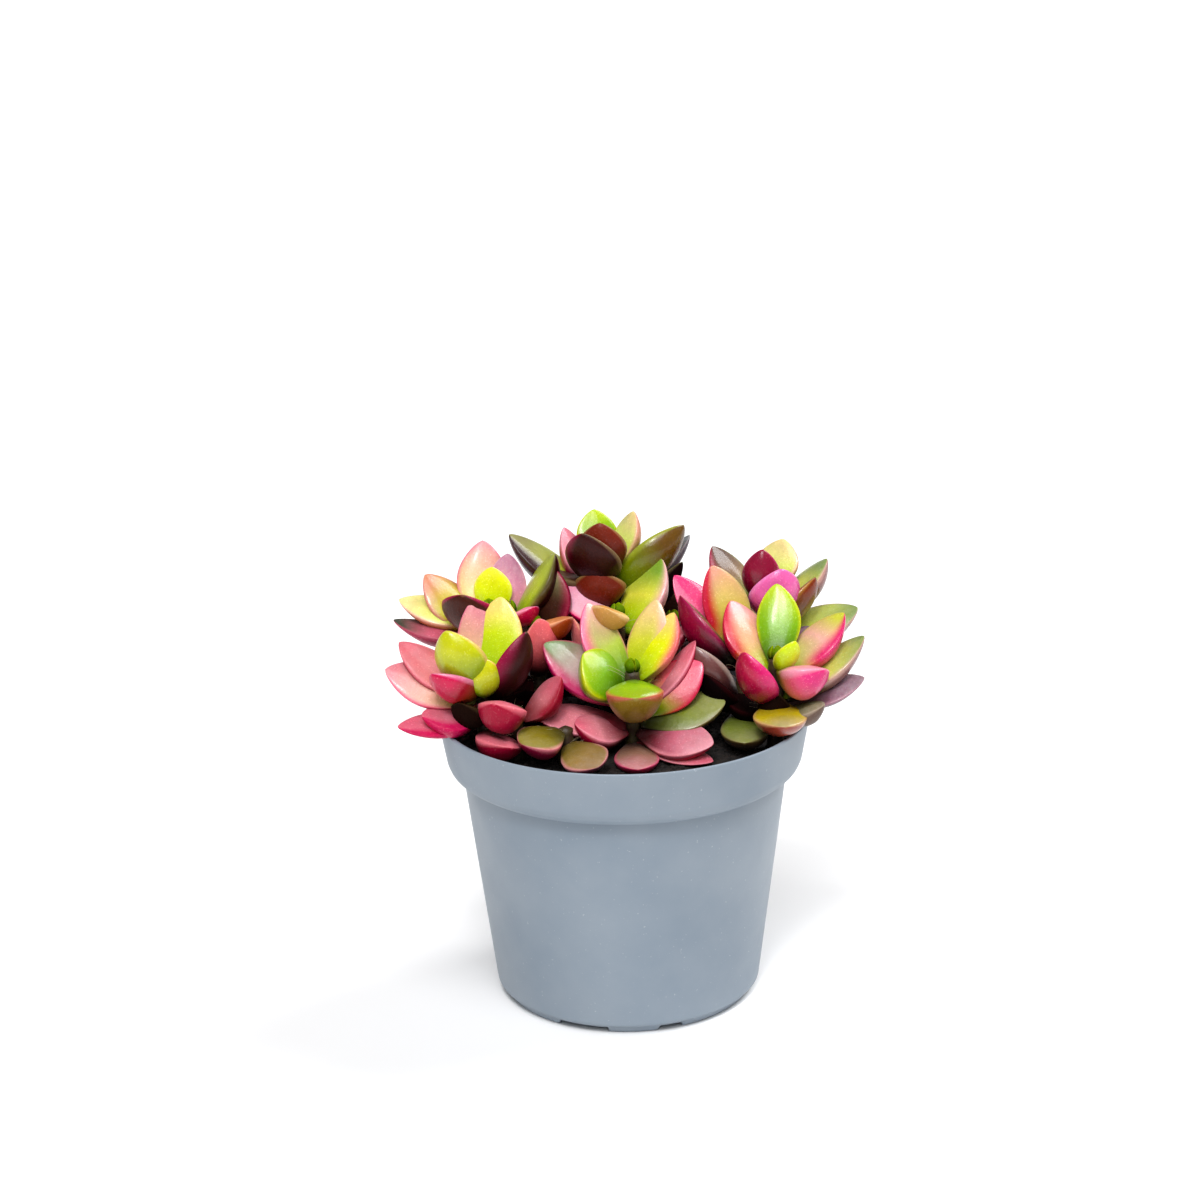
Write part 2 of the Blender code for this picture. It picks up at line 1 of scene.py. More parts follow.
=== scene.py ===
"""Visual model of a potted anacampseros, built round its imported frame.

Plant tables are in millimetres and degrees, and every mesh is made in metres, +Z up, with the pot
standing on the floor at the origin. A turn of 0 points along +X and 90 along +Y, away from the camera.
"""
from __future__ import annotations

import logging
import math
from dataclasses import dataclass, replace
from enum import Enum
from functools import partial
from typing import Any, Iterable, Sequence

import bmesh
import bpy
import numpy as np
from mathutils import Euler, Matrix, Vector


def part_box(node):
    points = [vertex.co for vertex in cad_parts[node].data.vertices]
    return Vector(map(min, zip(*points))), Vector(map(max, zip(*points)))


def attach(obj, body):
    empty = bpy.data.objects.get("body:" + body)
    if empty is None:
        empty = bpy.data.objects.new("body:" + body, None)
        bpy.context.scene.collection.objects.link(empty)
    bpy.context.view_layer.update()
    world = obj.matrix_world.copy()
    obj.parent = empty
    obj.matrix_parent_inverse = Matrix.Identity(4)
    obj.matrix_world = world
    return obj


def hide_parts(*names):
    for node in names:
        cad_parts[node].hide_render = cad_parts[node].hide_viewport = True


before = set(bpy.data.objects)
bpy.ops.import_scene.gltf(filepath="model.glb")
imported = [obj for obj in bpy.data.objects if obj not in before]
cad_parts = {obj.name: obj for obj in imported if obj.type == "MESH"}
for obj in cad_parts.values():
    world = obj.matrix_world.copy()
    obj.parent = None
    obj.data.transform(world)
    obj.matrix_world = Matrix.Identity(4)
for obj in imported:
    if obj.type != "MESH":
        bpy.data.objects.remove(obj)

LOG = logging.getLogger("potted_plant")
MM = 0.001
Colour = tuple[float, float, float]
Point = tuple[float, float]
Faces = list[tuple[int, ...]]
Array = np.ndarray
Dice = np.random.Generator
Socket = bpy.types.NodeSocket


def linear(colour: Colour) -> Colour:
    """Turn an 8-bit display colour into linear light."""
    shares = [channel / 255 for channel in colour]
    return tuple(s / 12.92 if s <= 0.04045 else ((s + 0.055) / 1.055) ** 2.4 for s in shares)


def smooth_step(low: float, high: float, value: Array) -> Array:
    """Rise smoothly from 0 to 1 as a value goes from low to high."""
    share = np.clip((value - low) / (high - low), 0, 1)
    return share * share * (3 - 2 * share)


def feed_inputs(tree: bpy.types.NodeTree, node: bpy.types.Node, inputs: dict[str | int, Any]) -> None:
    """Link output sockets to a node's inputs, and set plain values on the others.

    Args:
        tree: The node's tree.
        node: The node.
        inputs: Output sockets or plain values, by the input's name or number.
    """
    for key, value in inputs.items():
        if isinstance(value, Socket):
            tree.links.new(value, node.inputs[key])
        else:
            node.inputs[key].default_value = value


def add_node(
    tree: bpy.types.NodeTree, kind: str, inputs: dict[str | int, Any] | None = None, **settings: Any
) -> bpy.types.Node:
    """Add a node to a tree.

    Args:
        tree: The node tree.
        kind: The node's full type name.
        inputs: Output sockets or plain values for its inputs, by name or number.
        settings: Values for the node's own properties.

    Returns:
        The new node.
    """
    made = tree.nodes.new(kind)
    for setting, value in settings.items():
        setattr(made, setting, value)
    feed_inputs(tree, made, inputs or {})
    return made


# ---------------------------------------------------------------- finishes


@dataclass(frozen=True)
class Grain:
    """A noise pattern: features per metre, octaves, and how strongly the finer octaves show."""

    scale: float
    detail: float = 2.0
    roughness: float = 0.5


class Shader:
    """A small hand for building one material's node tree."""

    def __init__(self, name: str) -> None:
        """Start a material with a Principled shader.

        Args:
            name: The material's name.
        """
        self.material = bpy.data.materials.new(name)
        self.material.use_nodes = True
        self.tree = self.material.node_tree
        self.surface = self.tree.nodes["Principled BSDF"]

    def node(self, kind: str, inputs: dict[str | int, Any] | None = None, **settings: Any) -> bpy.types.Node:
        """Add a shader node, whose kind is written without the leading "ShaderNode"."""
        return add_node(self.tree, f"ShaderNode{kind}", inputs, **settings)

    def noise(self, grain: Grain) -> Socket:
        """Add a noise pattern in object space.

        Args:
            grain: The pattern.

        Returns:
            Its value, from 0 to 1.
        """
        place = self.node("TexCoord").outputs["Object"]
        sizes = {"Scale": grain.scale, "Detail": grain.detail, "Roughness": grain.roughness}
        return self.node("TexNoise", {"Vector": place, **sizes}).outputs["Fac"]

    def ramp(self, value: Socket, low: float, high: float) -> Socket:
        """Stretch a value so that low becomes 0 and high becomes 1, clamped."""
        made = self.node("MapRange", {"Value": value, "From Min": low, "From Max": high})
        return made.outputs["Result"]

    def mix(self, share: Socket, first: Any, second: Any) -> Socket:
        """Mix two colours.

        Args:
            share: How much of the second colour shows.
            first: The first colour, as a socket or four numbers.
            second: The second colour.

        Returns:
            The mixed colour socket.
        """
        made = self.node("Mix", {0: share, 6: first, 7: second}, data_type="RGBA")
        return made.outputs[2]

    def two_tone(self, share: Socket, first: Colour, second: Colour) -> Socket:
        """Mix two display colours, by the share of the second."""
        return self.mix(share, (*linear(first), 1), (*linear(second), 1))

    def total(self, first: Any, second: Any) -> Socket:
        """Add two numbers."""
        return self.node("Math", {0: first, 1: second}, operation="ADD").outputs[0]

    def scaled(self, value: Socket, factor: Any) -> Socket:
        """Multiply a number by another."""
        return self.node("Math", {0: value, 1: factor}, operation="MULTIPLY").outputs[0]

    def toned(self, colour: Socket, saturation: float, value: Any) -> Socket:
        """Change a colour's saturation and brightness, both as factors."""
        made = self.node("HueSaturation", {"Color": colour, "Saturation": saturation, "Value": value})
        return made.outputs["Color"]

    def bump(self, height: Socket, strength: float, distance: float) -> None:
        """Give the surface a bump.

        Args:
            height: The height socket.
            strength: The bump's strength.
            distance: Height of a full step, in metres.
        """
        made = self.node("Bump", {"Height": height, "Strength": strength, "Distance": distance})
        feed_inputs(self.tree, self.surface, {"Normal": made.outputs["Normal"]})

    def finish(self, **values: Any) -> bpy.types.Material:
        """Set the surface's sockets.

        Args:
            values: Output sockets or plain values, by socket name with _ for a space.

        Returns:
            The material.
        """
        inputs = {name.replace("_", " "): value for name, value in values.items()}
        feed_inputs(self.tree, self.surface, inputs)
        return self.material


@dataclass(frozen=True)
class LeafFinish:
    """Waxy succulent skin: the leaf's own tint, mottled, with a fine grain and a pale bloom.

    The tint's brightness is lightness plus a share of the mottle and of the speckle. The tint carries
    painted shade towards each leaf's base, and on one kind of leaf a painted highlight.
    """

    name: str
    roughness: float
    specular: float
    coat: float
    coat_roughness: float = 0.17
    bloom_colour: Colour = (226, 224, 226)
    mottle: Grain = Grain(260.0, 5, 0.62)
    speckle: Grain = Grain(1150.0, 3, 0.7)
    dots: Grain = Grain(2600.0)
    veil: Grain = Grain(620, 4, 0.6)
    dents: Grain = Grain(800, 4, 0.6)
    mottle_share: float = 0.4
    speckle_share: float = 0.26
    lightness: float = 0.66
    saturation: float = 1.07
    dot_saturation: float = 0.8
    dot_brightness: float = 1.7
    dot_share: float = 0.5
    dot_range: Point = (0.6, 0.76)
    veil_range: Point = (0.3, 0.75)
    roughness_swing: float = 0.16
    dot_height: float = 0.45
    bump_strength: float = 0.5
    bump_height: float = 0.00026

    def material(self) -> bpy.types.Material:
        """Build the material.

        Returns:
            The material, which reads the mesh attributes "tint" and "bloom".
        """
        shader = Shader(self.name)
        tint = shader.node("Attribute", attribute_name="tint").outputs["Color"]
        bloom = shader.node("Attribute", attribute_name="bloom").outputs["Fac"]
        mottle = shader.noise(self.mottle)
        dots = shader.noise(self.dots)
        speckle = shader.scaled(shader.noise(self.speckle), self.speckle_share)
        uneven = shader.total(shader.scaled(mottle, self.mottle_share), speckle)
        toned = shader.toned(tint, self.saturation, shader.total(uneven, self.lightness))
        lighter = shader.toned(toned, self.dot_saturation, self.dot_brightness)
        dot_share = shader.scaled(shader.ramp(dots, *self.dot_range), self.dot_share)
        dotted = shader.mix(dot_share, toned, lighter)
        veil = shader.scaled(bloom, shader.ramp(shader.noise(self.veil), *self.veil_range))
        swing = shader.scaled(mottle, self.roughness_swing)
        height = shader.total(shader.scaled(dots, self.dot_height), shader.noise(self.dents))
        shader.bump(height, self.bump_strength, self.bump_height)
        return shader.finish(
            Base_Color=shader.mix(veil, dotted, (*linear(self.bloom_colour), 1)),
            Roughness=shader.total(swing, self.roughness - self.roughness_swing / 2),
            IOR=1.45,
            Specular_IOR_Level=self.specular,
            Subsurface_Weight=0.1,
            Subsurface_Scale=0.002,
            Subsurface_Radius=(1.0, 0.7, 0.3),
            Coat_Weight=self.coat,
            Coat_Roughness=self.coat_roughness,
        )


@dataclass(frozen=True)
class StemFinish:
    """Green-brown fleshy stem with darker patches, both colours darkened as painted shade in the gaps
    between rosettes.
    """

    name: str = "stem_skin"
    # painted shade: both colours are darker than the stem's own, so the stems read as shade
    green: Colour = (70, 64, 26)
    brown: Colour = (48, 24, 20)
    patches: Grain = Grain(420, 4, 0.6)
    patch_range: Point = (0.35, 0.65)
    pores: Grain = Grain(1500, 3)

    def material(self) -> bpy.types.Material:
        """Build the material.

        Returns:
            The material.
        """
        shader = Shader(self.name)
        patches = shader.ramp(shader.noise(self.patches), *self.patch_range)
        colour = shader.two_tone(patches, self.green, self.brown)
        shader.bump(shader.noise(self.pores), strength=0.4, distance=0.0003)
        return shader.finish(
            Base_Color=colour,
            Roughness=0.55,
            Subsurface_Weight=0.08,
            Subsurface_Scale=0.002,
        )


@dataclass(frozen=True)
class HairFinish:
    """Dry, papery hairs of the leaf axils."""

    name: str = "axil_hair"
    pale: Colour = (214, 200, 170)
    brown: Colour = (150, 120, 90)
    streaks: Grain = Grain(900)

    def material(self) -> bpy.types.Material:
        """Build the material.

        Returns:
            The material.
        """
        shader = Shader(self.name)
        colour = shader.two_tone(shader.noise(self.streaks), self.pale, self.brown)
        return shader.finish(Base_Color=colour, Roughness=0.6)


@dataclass(frozen=True)
class PotFinish:
    """Satin injection-moulded plastic, faintly clouded, with tiny pale flecks."""

    name: str = "pot_plastic"
    light: Colour = (134, 145, 156)
    shade: Colour = (122, 135, 148)
    fleck: Colour = (190, 196, 202)
    clouds: Grain = Grain(38, 4, 0.55)
    cloud_range: Point = (0.35, 0.7)
    flecks: Grain = Grain(1500, 1)
    fleck_range: Point = (0.72, 0.8)
    fleck_share: float = 0.35
    roughness: float = 0.42
    cloud_roughness: float = 0.1
    fine_dents: Grain = Grain(2400, 3)
    broad_dents: Grain = Grain(300)
    broad_share: float = 0.6

    def material(self) -> bpy.types.Material:
        """Build the material.

        Returns:
            The material.
        """
        shader = Shader(self.name)
        clouds = shader.ramp(shader.noise(self.clouds), *self.cloud_range)
        body = shader.two_tone(clouds, self.light, self.shade)
        flecks = shader.scaled(shader.ramp(shader.noise(self.flecks), *self.fleck_range), self.fleck_share)
        colour = shader.mix(flecks, body, (*linear(self.fleck), 1))
        roughness = shader.total(shader.scaled(clouds, self.cloud_roughness), self.roughness)
        broad = shader.scaled(shader.noise(self.broad_dents), self.broad_share)
        shader.bump(shader.total(shader.noise(self.fine_dents), broad), strength=0.12, distance=0.0001)
        return shader.finish(Base_Color=colour, Roughness=roughness, IOR=1.46)


@dataclass(frozen=True)
class SoilFinish:
    """Damp dark peat, made darker still as painted shade beneath the leaves, with a few lighter patches."""

    name: str = "soil_dark"
    # painted shade: the peat is made darker still, so the soil under the leaves reads as shade
    dark: Colour = (20, 16, 15)
    brown: Colour = (58, 44, 36)
    patches: Grain = Grain(700, 5, 0.7)
    patch_range: Point = (0.45, 0.8)
    clods: Grain = Grain(2200, 4, 0.7)

    def material(self) -> bpy.types.Material:
        """Build the material.

        Returns:
            The material.
        """
        shader = Shader(self.name)
        patches = shader.ramp(shader.noise(self.patches), *self.patch_range)
        colour = shader.two_tone(patches, self.dark, self.brown)
        shader.bump(shader.noise(self.clods), strength=0.8, distance=0.0006)
        return shader.finish(Base_Color=colour, Roughness=0.92)


@dataclass(frozen=True)
class FloorFinish:
    """Plain, pale studio floor."""

    name: str = "floor_pale"
    light: Colour = (246, 246, 246)
    shade: Colour = (242, 242, 243)
    drift: Grain = Grain(6)

    def material(self) -> bpy.types.Material:
        """Build the material.

        Returns:
            The material.
        """
        shader = Shader(self.name)
        colour = shader.two_tone(shader.noise(self.drift), self.light, self.shade)
        return shader.finish(Base_Color=colour, Roughness=0.9, Specular_IOR_Level=0.0)


# ---------------------------------------------------------------- leaf colours


class Sheen(Enum):
    """How glossy a leaf is."""

    GLOSSY = "glossy"
    SATIN = "satin"
    DULL = "dull"


@dataclass(frozen=True)
class Palette:
    """Colours of one kind of leaf, from its base to its tip, as 8-bit display colours.

    The edge colour lines both margins. The flush spreads inwards from one margin: its reach is a share
    of the leaf's half width, and is below zero where it starts from the other margin.
    """

    upper: tuple[Colour, Colour, Colour]
    edge: Colour
    under: tuple[Colour, Colour]
    bloom: float = 0.0
    flush: Colour = (0, 0, 0)
    reach: float = 0.0
    sheen: Sheen = Sheen.GLOSSY


class Skin(Enum):
    """The plant's leaf colourings."""

    LIME = Palette(
        upper=((156, 192, 18), (206, 224, 70), (238, 218, 140)), edge=(244, 196, 146),
        under=((120, 156, 16), (200, 200, 60)))
    LIME_PINK = Palette(
        upper=((190, 214, 24), (234, 238, 70), (242, 220, 140)), edge=(240, 150, 136),
        under=((160, 184, 16), (226, 140, 120)), flush=(238, 136, 138), reach=-0.3)
    LIME_BRIGHT = Palette(
        upper=((196, 220, 16), (232, 242, 56), (240, 240, 100)), edge=(238, 238, 130),
        under=((176, 208, 12), (214, 232, 40)))
    GREEN = Palette(
        upper=((96, 140, 10), (138, 184, 16), (190, 210, 40)), edge=(214, 212, 76),
        under=((90, 126, 12), (146, 178, 24)))
    CREAM = Palette(
        upper=((200, 218, 70), (230, 238, 146), (240, 222, 166)), edge=(240, 190, 176),
        under=((176, 184, 60), (220, 150, 120)), bloom=0.02)
    CREAM_LIME = Palette(
        upper=((172, 194, 36), (214, 214, 92), (238, 208, 160)), edge=(242, 196, 168),
        under=((140, 164, 30), (210, 160, 100)), bloom=0.02, flush=(238, 196, 172), reach=-0.55)
    CREAM_GREY = Palette(
        upper=((160, 196, 30), (226, 224, 106), (140, 170, 76)), edge=(240, 200, 190),
        under=((140, 170, 40), (200, 160, 130)), bloom=0.02, flush=(240, 190, 194), reach=-0.2)
    CREAM_BROWN = Palette(
        upper=((190, 160, 90), (226, 198, 134), (214, 164, 110)), edge=(238, 210, 166),
        under=((170, 130, 76), (208, 164, 108)), sheen=Sheen.SATIN)
    TAN = Palette(
        upper=((206, 204, 90), (204, 194, 84), (216, 156, 130)), edge=(222, 150, 146),
        under=((150, 132, 50), (206, 130, 110)), bloom=0.03)
    PEACH = Palette(
        upper=((240, 236, 150), (236, 204, 164), (230, 160, 168)), edge=(226, 124, 156),
        under=((200, 160, 90), (206, 92, 116)), bloom=0.04)
    PEACH_LIME = Palette(
        upper=((190, 214, 56), (238, 194, 158), (238, 176, 176)), edge=(220, 222, 110),
        under=((180, 190, 60), (222, 90, 110)), bloom=0.03, flush=(206, 16, 76), reach=0.36)
    PEACH_EDGED = Palette(
        upper=((176, 194, 80), (210, 196, 112), (220, 170, 150)), edge=(200, 190, 130),
        under=((150, 160, 52), (200, 30, 80)), bloom=0.02, flush=(200, 18, 70), reach=0.46)
    PEACH_GREEN = Palette(
        upper=((170, 194, 50), (236, 188, 178), (206, 206, 90)), edge=(206, 210, 96),
        under=((150, 152, 52), (208, 60, 110)), bloom=0.03, flush=(214, 40, 120), reach=-0.36)
    PINK = Palette(
        upper=((228, 190, 152), (232, 162, 172), (222, 138, 156)), edge=(240, 176, 188),
        under=((196, 84, 112), (196, 72, 112)), bloom=0.06)
    PINK_TAN = Palette(
        upper=((176, 182, 64), (222, 180, 160), (222, 152, 160)), edge=(232, 130, 156),
        under=((186, 90, 100), (206, 84, 112)), bloom=0.04)
    PINK_OLIVE = Palette(
        upper=((96, 18, 28), (194, 116, 132), (234, 172, 182)), edge=(238, 164, 174),
        under=((84, 12, 20), (206, 64, 100)), bloom=0.12, sheen=Sheen.SATIN)
    PINK_GREY = Palette(
        upper=((206, 150, 150), (214, 150, 176), (190, 130, 156)), edge=(226, 176, 190),
        under=((150, 70, 98), (172, 78, 110)), bloom=0.2, sheen=Sheen.SATIN)
    ROSE = Palette(
        upper=((146, 66, 74), (222, 152, 160), (218, 126, 142)), edge=(240, 168, 180),
        under=((56, 6, 20), (192, 18, 76)), bloom=0.05, sheen=Sheen.SATIN)
    DUSTY_ROSE = Palette(
        upper=((150, 60, 60), (214, 124, 142), (84, 88, 74)), edge=(190, 110, 126),
        under=((90, 14, 40), (190, 26, 90)), bloom=0.04, sheen=Sheen.SATIN)
    DUSTY_PINK = Palette(
        upper=((150, 100, 80), (204, 132, 132), (200, 110, 122)), edge=(226, 150, 158),
        under=((110, 36, 46), (194, 46, 84)), bloom=0.06, sheen=Sheen.SATIN)
    EDGED_GREY = Palette(
        upper=((150, 160, 80), (150, 124, 96), (110, 84, 70)), edge=(150, 160, 120),
        under=((110, 30, 50), (130, 16, 52)), bloom=0.08, flush=(176, 20, 84), reach=0.3)
    DARK_ROSE = Palette(
        upper=((120, 36, 48), (208, 122, 134), (214, 128, 140)), edge=(232, 144, 154),
        under=((44, 4, 14), (176, 50, 76)), bloom=0.05, sheen=Sheen.SATIN)
    SALMON_LIGHT = Palette(
        upper=((90, 16, 28), (224, 134, 130), (236, 156, 150)), edge=(238, 170, 164),
        under=((44, 6, 14), (226, 128, 132)), sheen=Sheen.SATIN)
    SALMON_PINK = Palette(
        upper=((176, 164, 54), (240, 166, 184), (240, 166, 182)), edge=(242, 180, 194),
        under=((180, 150, 70), (226, 84, 142)), bloom=0.02)
    VIVID_PINK = Palette(
        upper=((190, 140, 110), (232, 118, 154), (236, 100, 146)), edge=(242, 120, 160),
        under=((140, 30, 60), (206, 40, 100)))
    SALMON = Palette(
        upper=((140, 164, 36), (220, 120, 130), (230, 124, 148)), edge=(216, 22, 80),
        under=((124, 126, 40), (206, 30, 84)), bloom=0.02)
    HOT_PINK = Palette(
        upper=((150, 120, 54), (232, 150, 172), (234, 140, 166)), edge=(240, 170, 196),
        under=((110, 90, 30), (206, 8, 88)), bloom=0.02)
    MAGENTA = Palette(
        upper=((90, 90, 50), (120, 116, 90), (112, 128, 84)), edge=(170, 60, 104),
        under=((20, 2, 6), (150, 2, 66)), flush=(104, 96, 84), reach=-0.5)
    MAGENTA_PINK = Palette(
        upper=((122, 100, 56), (166, 124, 104), (210, 120, 138)), edge=(226, 110, 150),
        under=((110, 6, 34), (190, 14, 80)), bloom=0.02, flush=(222, 90, 140), reach=0.25)
    MAROON = Palette(
        upper=((50, 28, 18), (74, 42, 30), (150, 150, 110)), edge=(150, 130, 100),
        under=((26, 4, 6), (66, 18, 16)), bloom=0.01, flush=(160, 40, 84), reach=-0.22, sheen=Sheen.SATIN)
    MAROON_PINK = Palette(
        upper=((160, 160, 80), (190, 184, 108), (176, 150, 110)), edge=(190, 30, 100),
        under=((124, 66, 22), (84, 36, 18)), sheen=Sheen.SATIN)
    # a maroon leaf, painted near-black as the deep shade that it sits in
    MAROON_WITH_PAINTED_SHADE = Palette(
        upper=((40, 30, 20), (60, 50, 36), (130, 130, 90)), edge=(90, 80, 60),
        under=((14, 4, 6), (30, 8, 12)), sheen=Sheen.DULL)
    OLIVE_MAROON = Palette(
        upper=((160, 176, 50), (188, 198, 100), (150, 146, 96)), edge=(190, 180, 128),
        under=((26, 8, 10), (64, 20, 26)), bloom=0.03, flush=(64, 20, 28), reach=0.5)
    OLIVE_SHADED = Palette(
        upper=((166, 192, 54), (190, 202, 84), (172, 178, 90)), edge=(200, 200, 120),
        under=((26, 8, 8), (60, 20, 22)), bloom=0.02, flush=(58, 16, 22), reach=-0.16)
    OLIVE_BROWN = Palette(
        upper=((160, 190, 40), (176, 182, 60), (124, 96, 52)), edge=(180, 190, 90),
        under=((136, 158, 34), (118, 88, 40)), bloom=0.02)
    BROWN_ROSE = Palette(
        upper=((150, 168, 40), (146, 112, 54), (156, 92, 72)), edge=(178, 150, 104),
        under=((64, 22, 12), (134, 62, 50)), bloom=0.01, sheen=Sheen.SATIN)
    OLIVE = Palette(
        upper=((70, 78, 20), (132, 142, 66), (156, 160, 100)), edge=(150, 140, 94),
        under=((40, 38, 14), (104, 80, 50)), bloom=0.08)
    # a dark olive leaf, darkened further as painted shade in the gaps between rosettes
    OLIVE_WITH_PAINTED_SHADE = Palette(
        upper=((50, 50, 14), (60, 54, 18), (56, 36, 22)), edge=(70, 56, 40),
        under=((24, 20, 8), (36, 20, 14)), sheen=Sheen.DULL)
    OLIVE_GREY = Palette(
        upper=((100, 100, 50), (130, 126, 86), (146, 140, 120)), edge=(170, 156, 140),
        under=((80, 70, 40), (120, 100, 90)), bloom=0.1, sheen=Sheen.SATIN)
    OLIVE_PINK = Palette(
        upper=((130, 112, 50), (160, 136, 84), (164, 136, 104)), edge=(226, 160, 166),
        under=((90, 40, 60), (150, 90, 110)), bloom=0.1, sheen=Sheen.SATIN)
    OLIVE_YELLOW = Palette(
        upper=((96, 88, 26), (136, 124, 40), (150, 138, 74)), edge=(226, 150, 160),
        under=((90, 30, 40), (170, 60, 90)), bloom=0.05, sheen=Sheen.SATIN)
    OLIVE_TAN = Palette(
        upper=((150, 120, 36), (206, 188, 56), (180, 168, 120)), edge=(206, 170, 130),
        under=((120, 50, 30), (160, 84, 70)), bloom=0.04)
    BOAT = Palette(
        upper=((130, 170, 20), (156, 190, 40), (160, 180, 60)), edge=(214, 110, 110),
        under=((112, 112, 30), (160, 132, 66)))
    GREEN_PINK = Palette(
        upper=((100, 146, 16), (180, 196, 96), (236, 190, 184)), edge=(236, 160, 166),
        under=((110, 130, 30), (206, 60, 100)), bloom=0.03, flush=(234, 128, 160), reach=0.4)
    GREY_GREEN = Palette(
        upper=((160, 184, 56), (202, 208, 116), (140, 158, 96)), edge=(206, 170, 162),
        under=((100, 90, 50), (150, 106, 104)), bloom=0.1)
    GREY_PINK = Palette(
        upper=((170, 180, 70), (208, 170, 178), (120, 146, 96)), edge=(206, 46, 112),
        under=((130, 30, 70), (190, 30, 98)), bloom=0.14, flush=(198, 44, 112), reach=0.36)
    GREY_LILAC = Palette(
        upper=((110, 110, 90), (136, 136, 136), (116, 118, 122)), edge=(176, 168, 172),
        under=((56, 46, 56), (110, 100, 110)), bloom=0.2, sheen=Sheen.SATIN)
    SILVER = Palette(
        upper=((120, 100, 84), (160, 140, 126), (130, 110, 96)), edge=(206, 190, 180),
        under=((60, 24, 30), (128, 88, 86)), bloom=0.22)
    DUSKY = Palette(
        upper=((110, 80, 80), (146, 110, 126), (150, 126, 136)), edge=(184, 142, 156),
        under=((60, 34, 46), (116, 74, 94)), bloom=0.18)
    BROWN_PEACH = Palette(
        upper=((170, 96, 60), (206, 140, 96), (206, 146, 110)), edge=(230, 180, 150),
        under=((90, 30, 24), (170, 90, 60)), sheen=Sheen.SATIN)
    BROWN = Palette(
        upper=((150, 156, 46), (146, 110, 56), (136, 64, 44)), edge=(190, 150, 90),
        under=((110, 120, 30), (136, 66, 40)))
    # painted shade: near-black, dull leaves set deep in the rosettes, standing for the shade between them
    PAINTED_SHADE_LEAF = Palette(
        upper=((30, 12, 10), (28, 10, 10), (40, 12, 14)), edge=(60, 20, 24),
        under=((10, 3, 4), (20, 5, 7)), sheen=Sheen.DULL)
    PINK_BLOOM = Palette(
        upper=((110, 82, 70), (146, 112, 94), (196, 140, 142)), edge=(212, 100, 134),
        under=((130, 40, 60), (196, 80, 110)), bloom=0.1, sheen=Sheen.SATIN)
    HOT_PALE = Palette(
        upper=((230, 170, 176), (240, 190, 206), (238, 150, 180)), edge=(234, 80, 136),
        under=((190, 60, 100), (214, 50, 112)), bloom=0.04, sheen=Sheen.SATIN)
    MAGENTA_DEEP = Palette(
        upper=((120, 20, 50), (150, 24, 66), (180, 44, 96)), edge=(206, 80, 130),
        under=((80, 6, 28), (152, 16, 66)), bloom=0.02)
    BROWN_PINK = Palette(
        upper=((180, 100, 84), (222, 146, 140), (230, 160, 150)), edge=(236, 180, 150),
        under=((150, 70, 70), (222, 140, 140)), sheen=Sheen.SATIN)
    ORCHID = Palette(
        upper=((226, 150, 170), (236, 140, 190), (230, 126, 186)), edge=(240, 160, 206),
        under=((200, 90, 140), (230, 126, 180)), bloom=0.03)
    ROSE_EDGED = Palette(
        upper=((150, 70, 76), (222, 142, 156), (222, 124, 144)), edge=(240, 164, 178),
        under=((70, 6, 26), (206, 18, 90)), bloom=0.04, flush=(204, 34, 100), reach=0.42, sheen=Sheen.SATIN)
    ROSE_SHADED = Palette(
        upper=((150, 70, 76), (214, 140, 146), (208, 116, 130)), edge=(236, 156, 168),
        under=((56, 6, 20), (190, 20, 70)), bloom=0.04, flush=(160, 20, 52), reach=-0.3, sheen=Sheen.SATIN)
    # a cream-lime leaf, brightened all over as a painted highlight
    CREAM_WITH_PAINTED_HIGHLIGHT = Palette(
        upper=((190, 208, 44), (238, 238, 150), (238, 226, 150)), edge=(244, 206, 150),
        under=((120, 156, 16), (204, 206, 70)))
    BUD = Palette(
        upper=((60, 84, 10), (104, 138, 20), (150, 176, 44)), edge=(150, 160, 60),
        under=((50, 70, 10), (110, 140, 26)), sheen=Sheen.DULL)


@dataclass(frozen=True)
class Leaf:
    """One leaf's direction, size and seat on its stem.

    Angles are in degrees and sizes in millimetres. The seat is a share of the stem's height, the
    roll turns the leaf about its own length, and the thickness is a share of the width.
    """

    turn: float
    rise: float
    length: float
    width: float
    seat: float
    roll: float
    skin: Skin
    thickness: float = 0.42


@dataclass(frozen=True)
class ShootPlan:
    """Where a shoot stands, where its crown is, and its leaves.

    The inner leaves share the stem's solid; each outer leaf is a solid of its own.
    """

    name: str
    foot: Point
    crown: tuple[float, float, float]
    inner: tuple[Leaf, ...]
    outer: tuple[Leaf, ...]


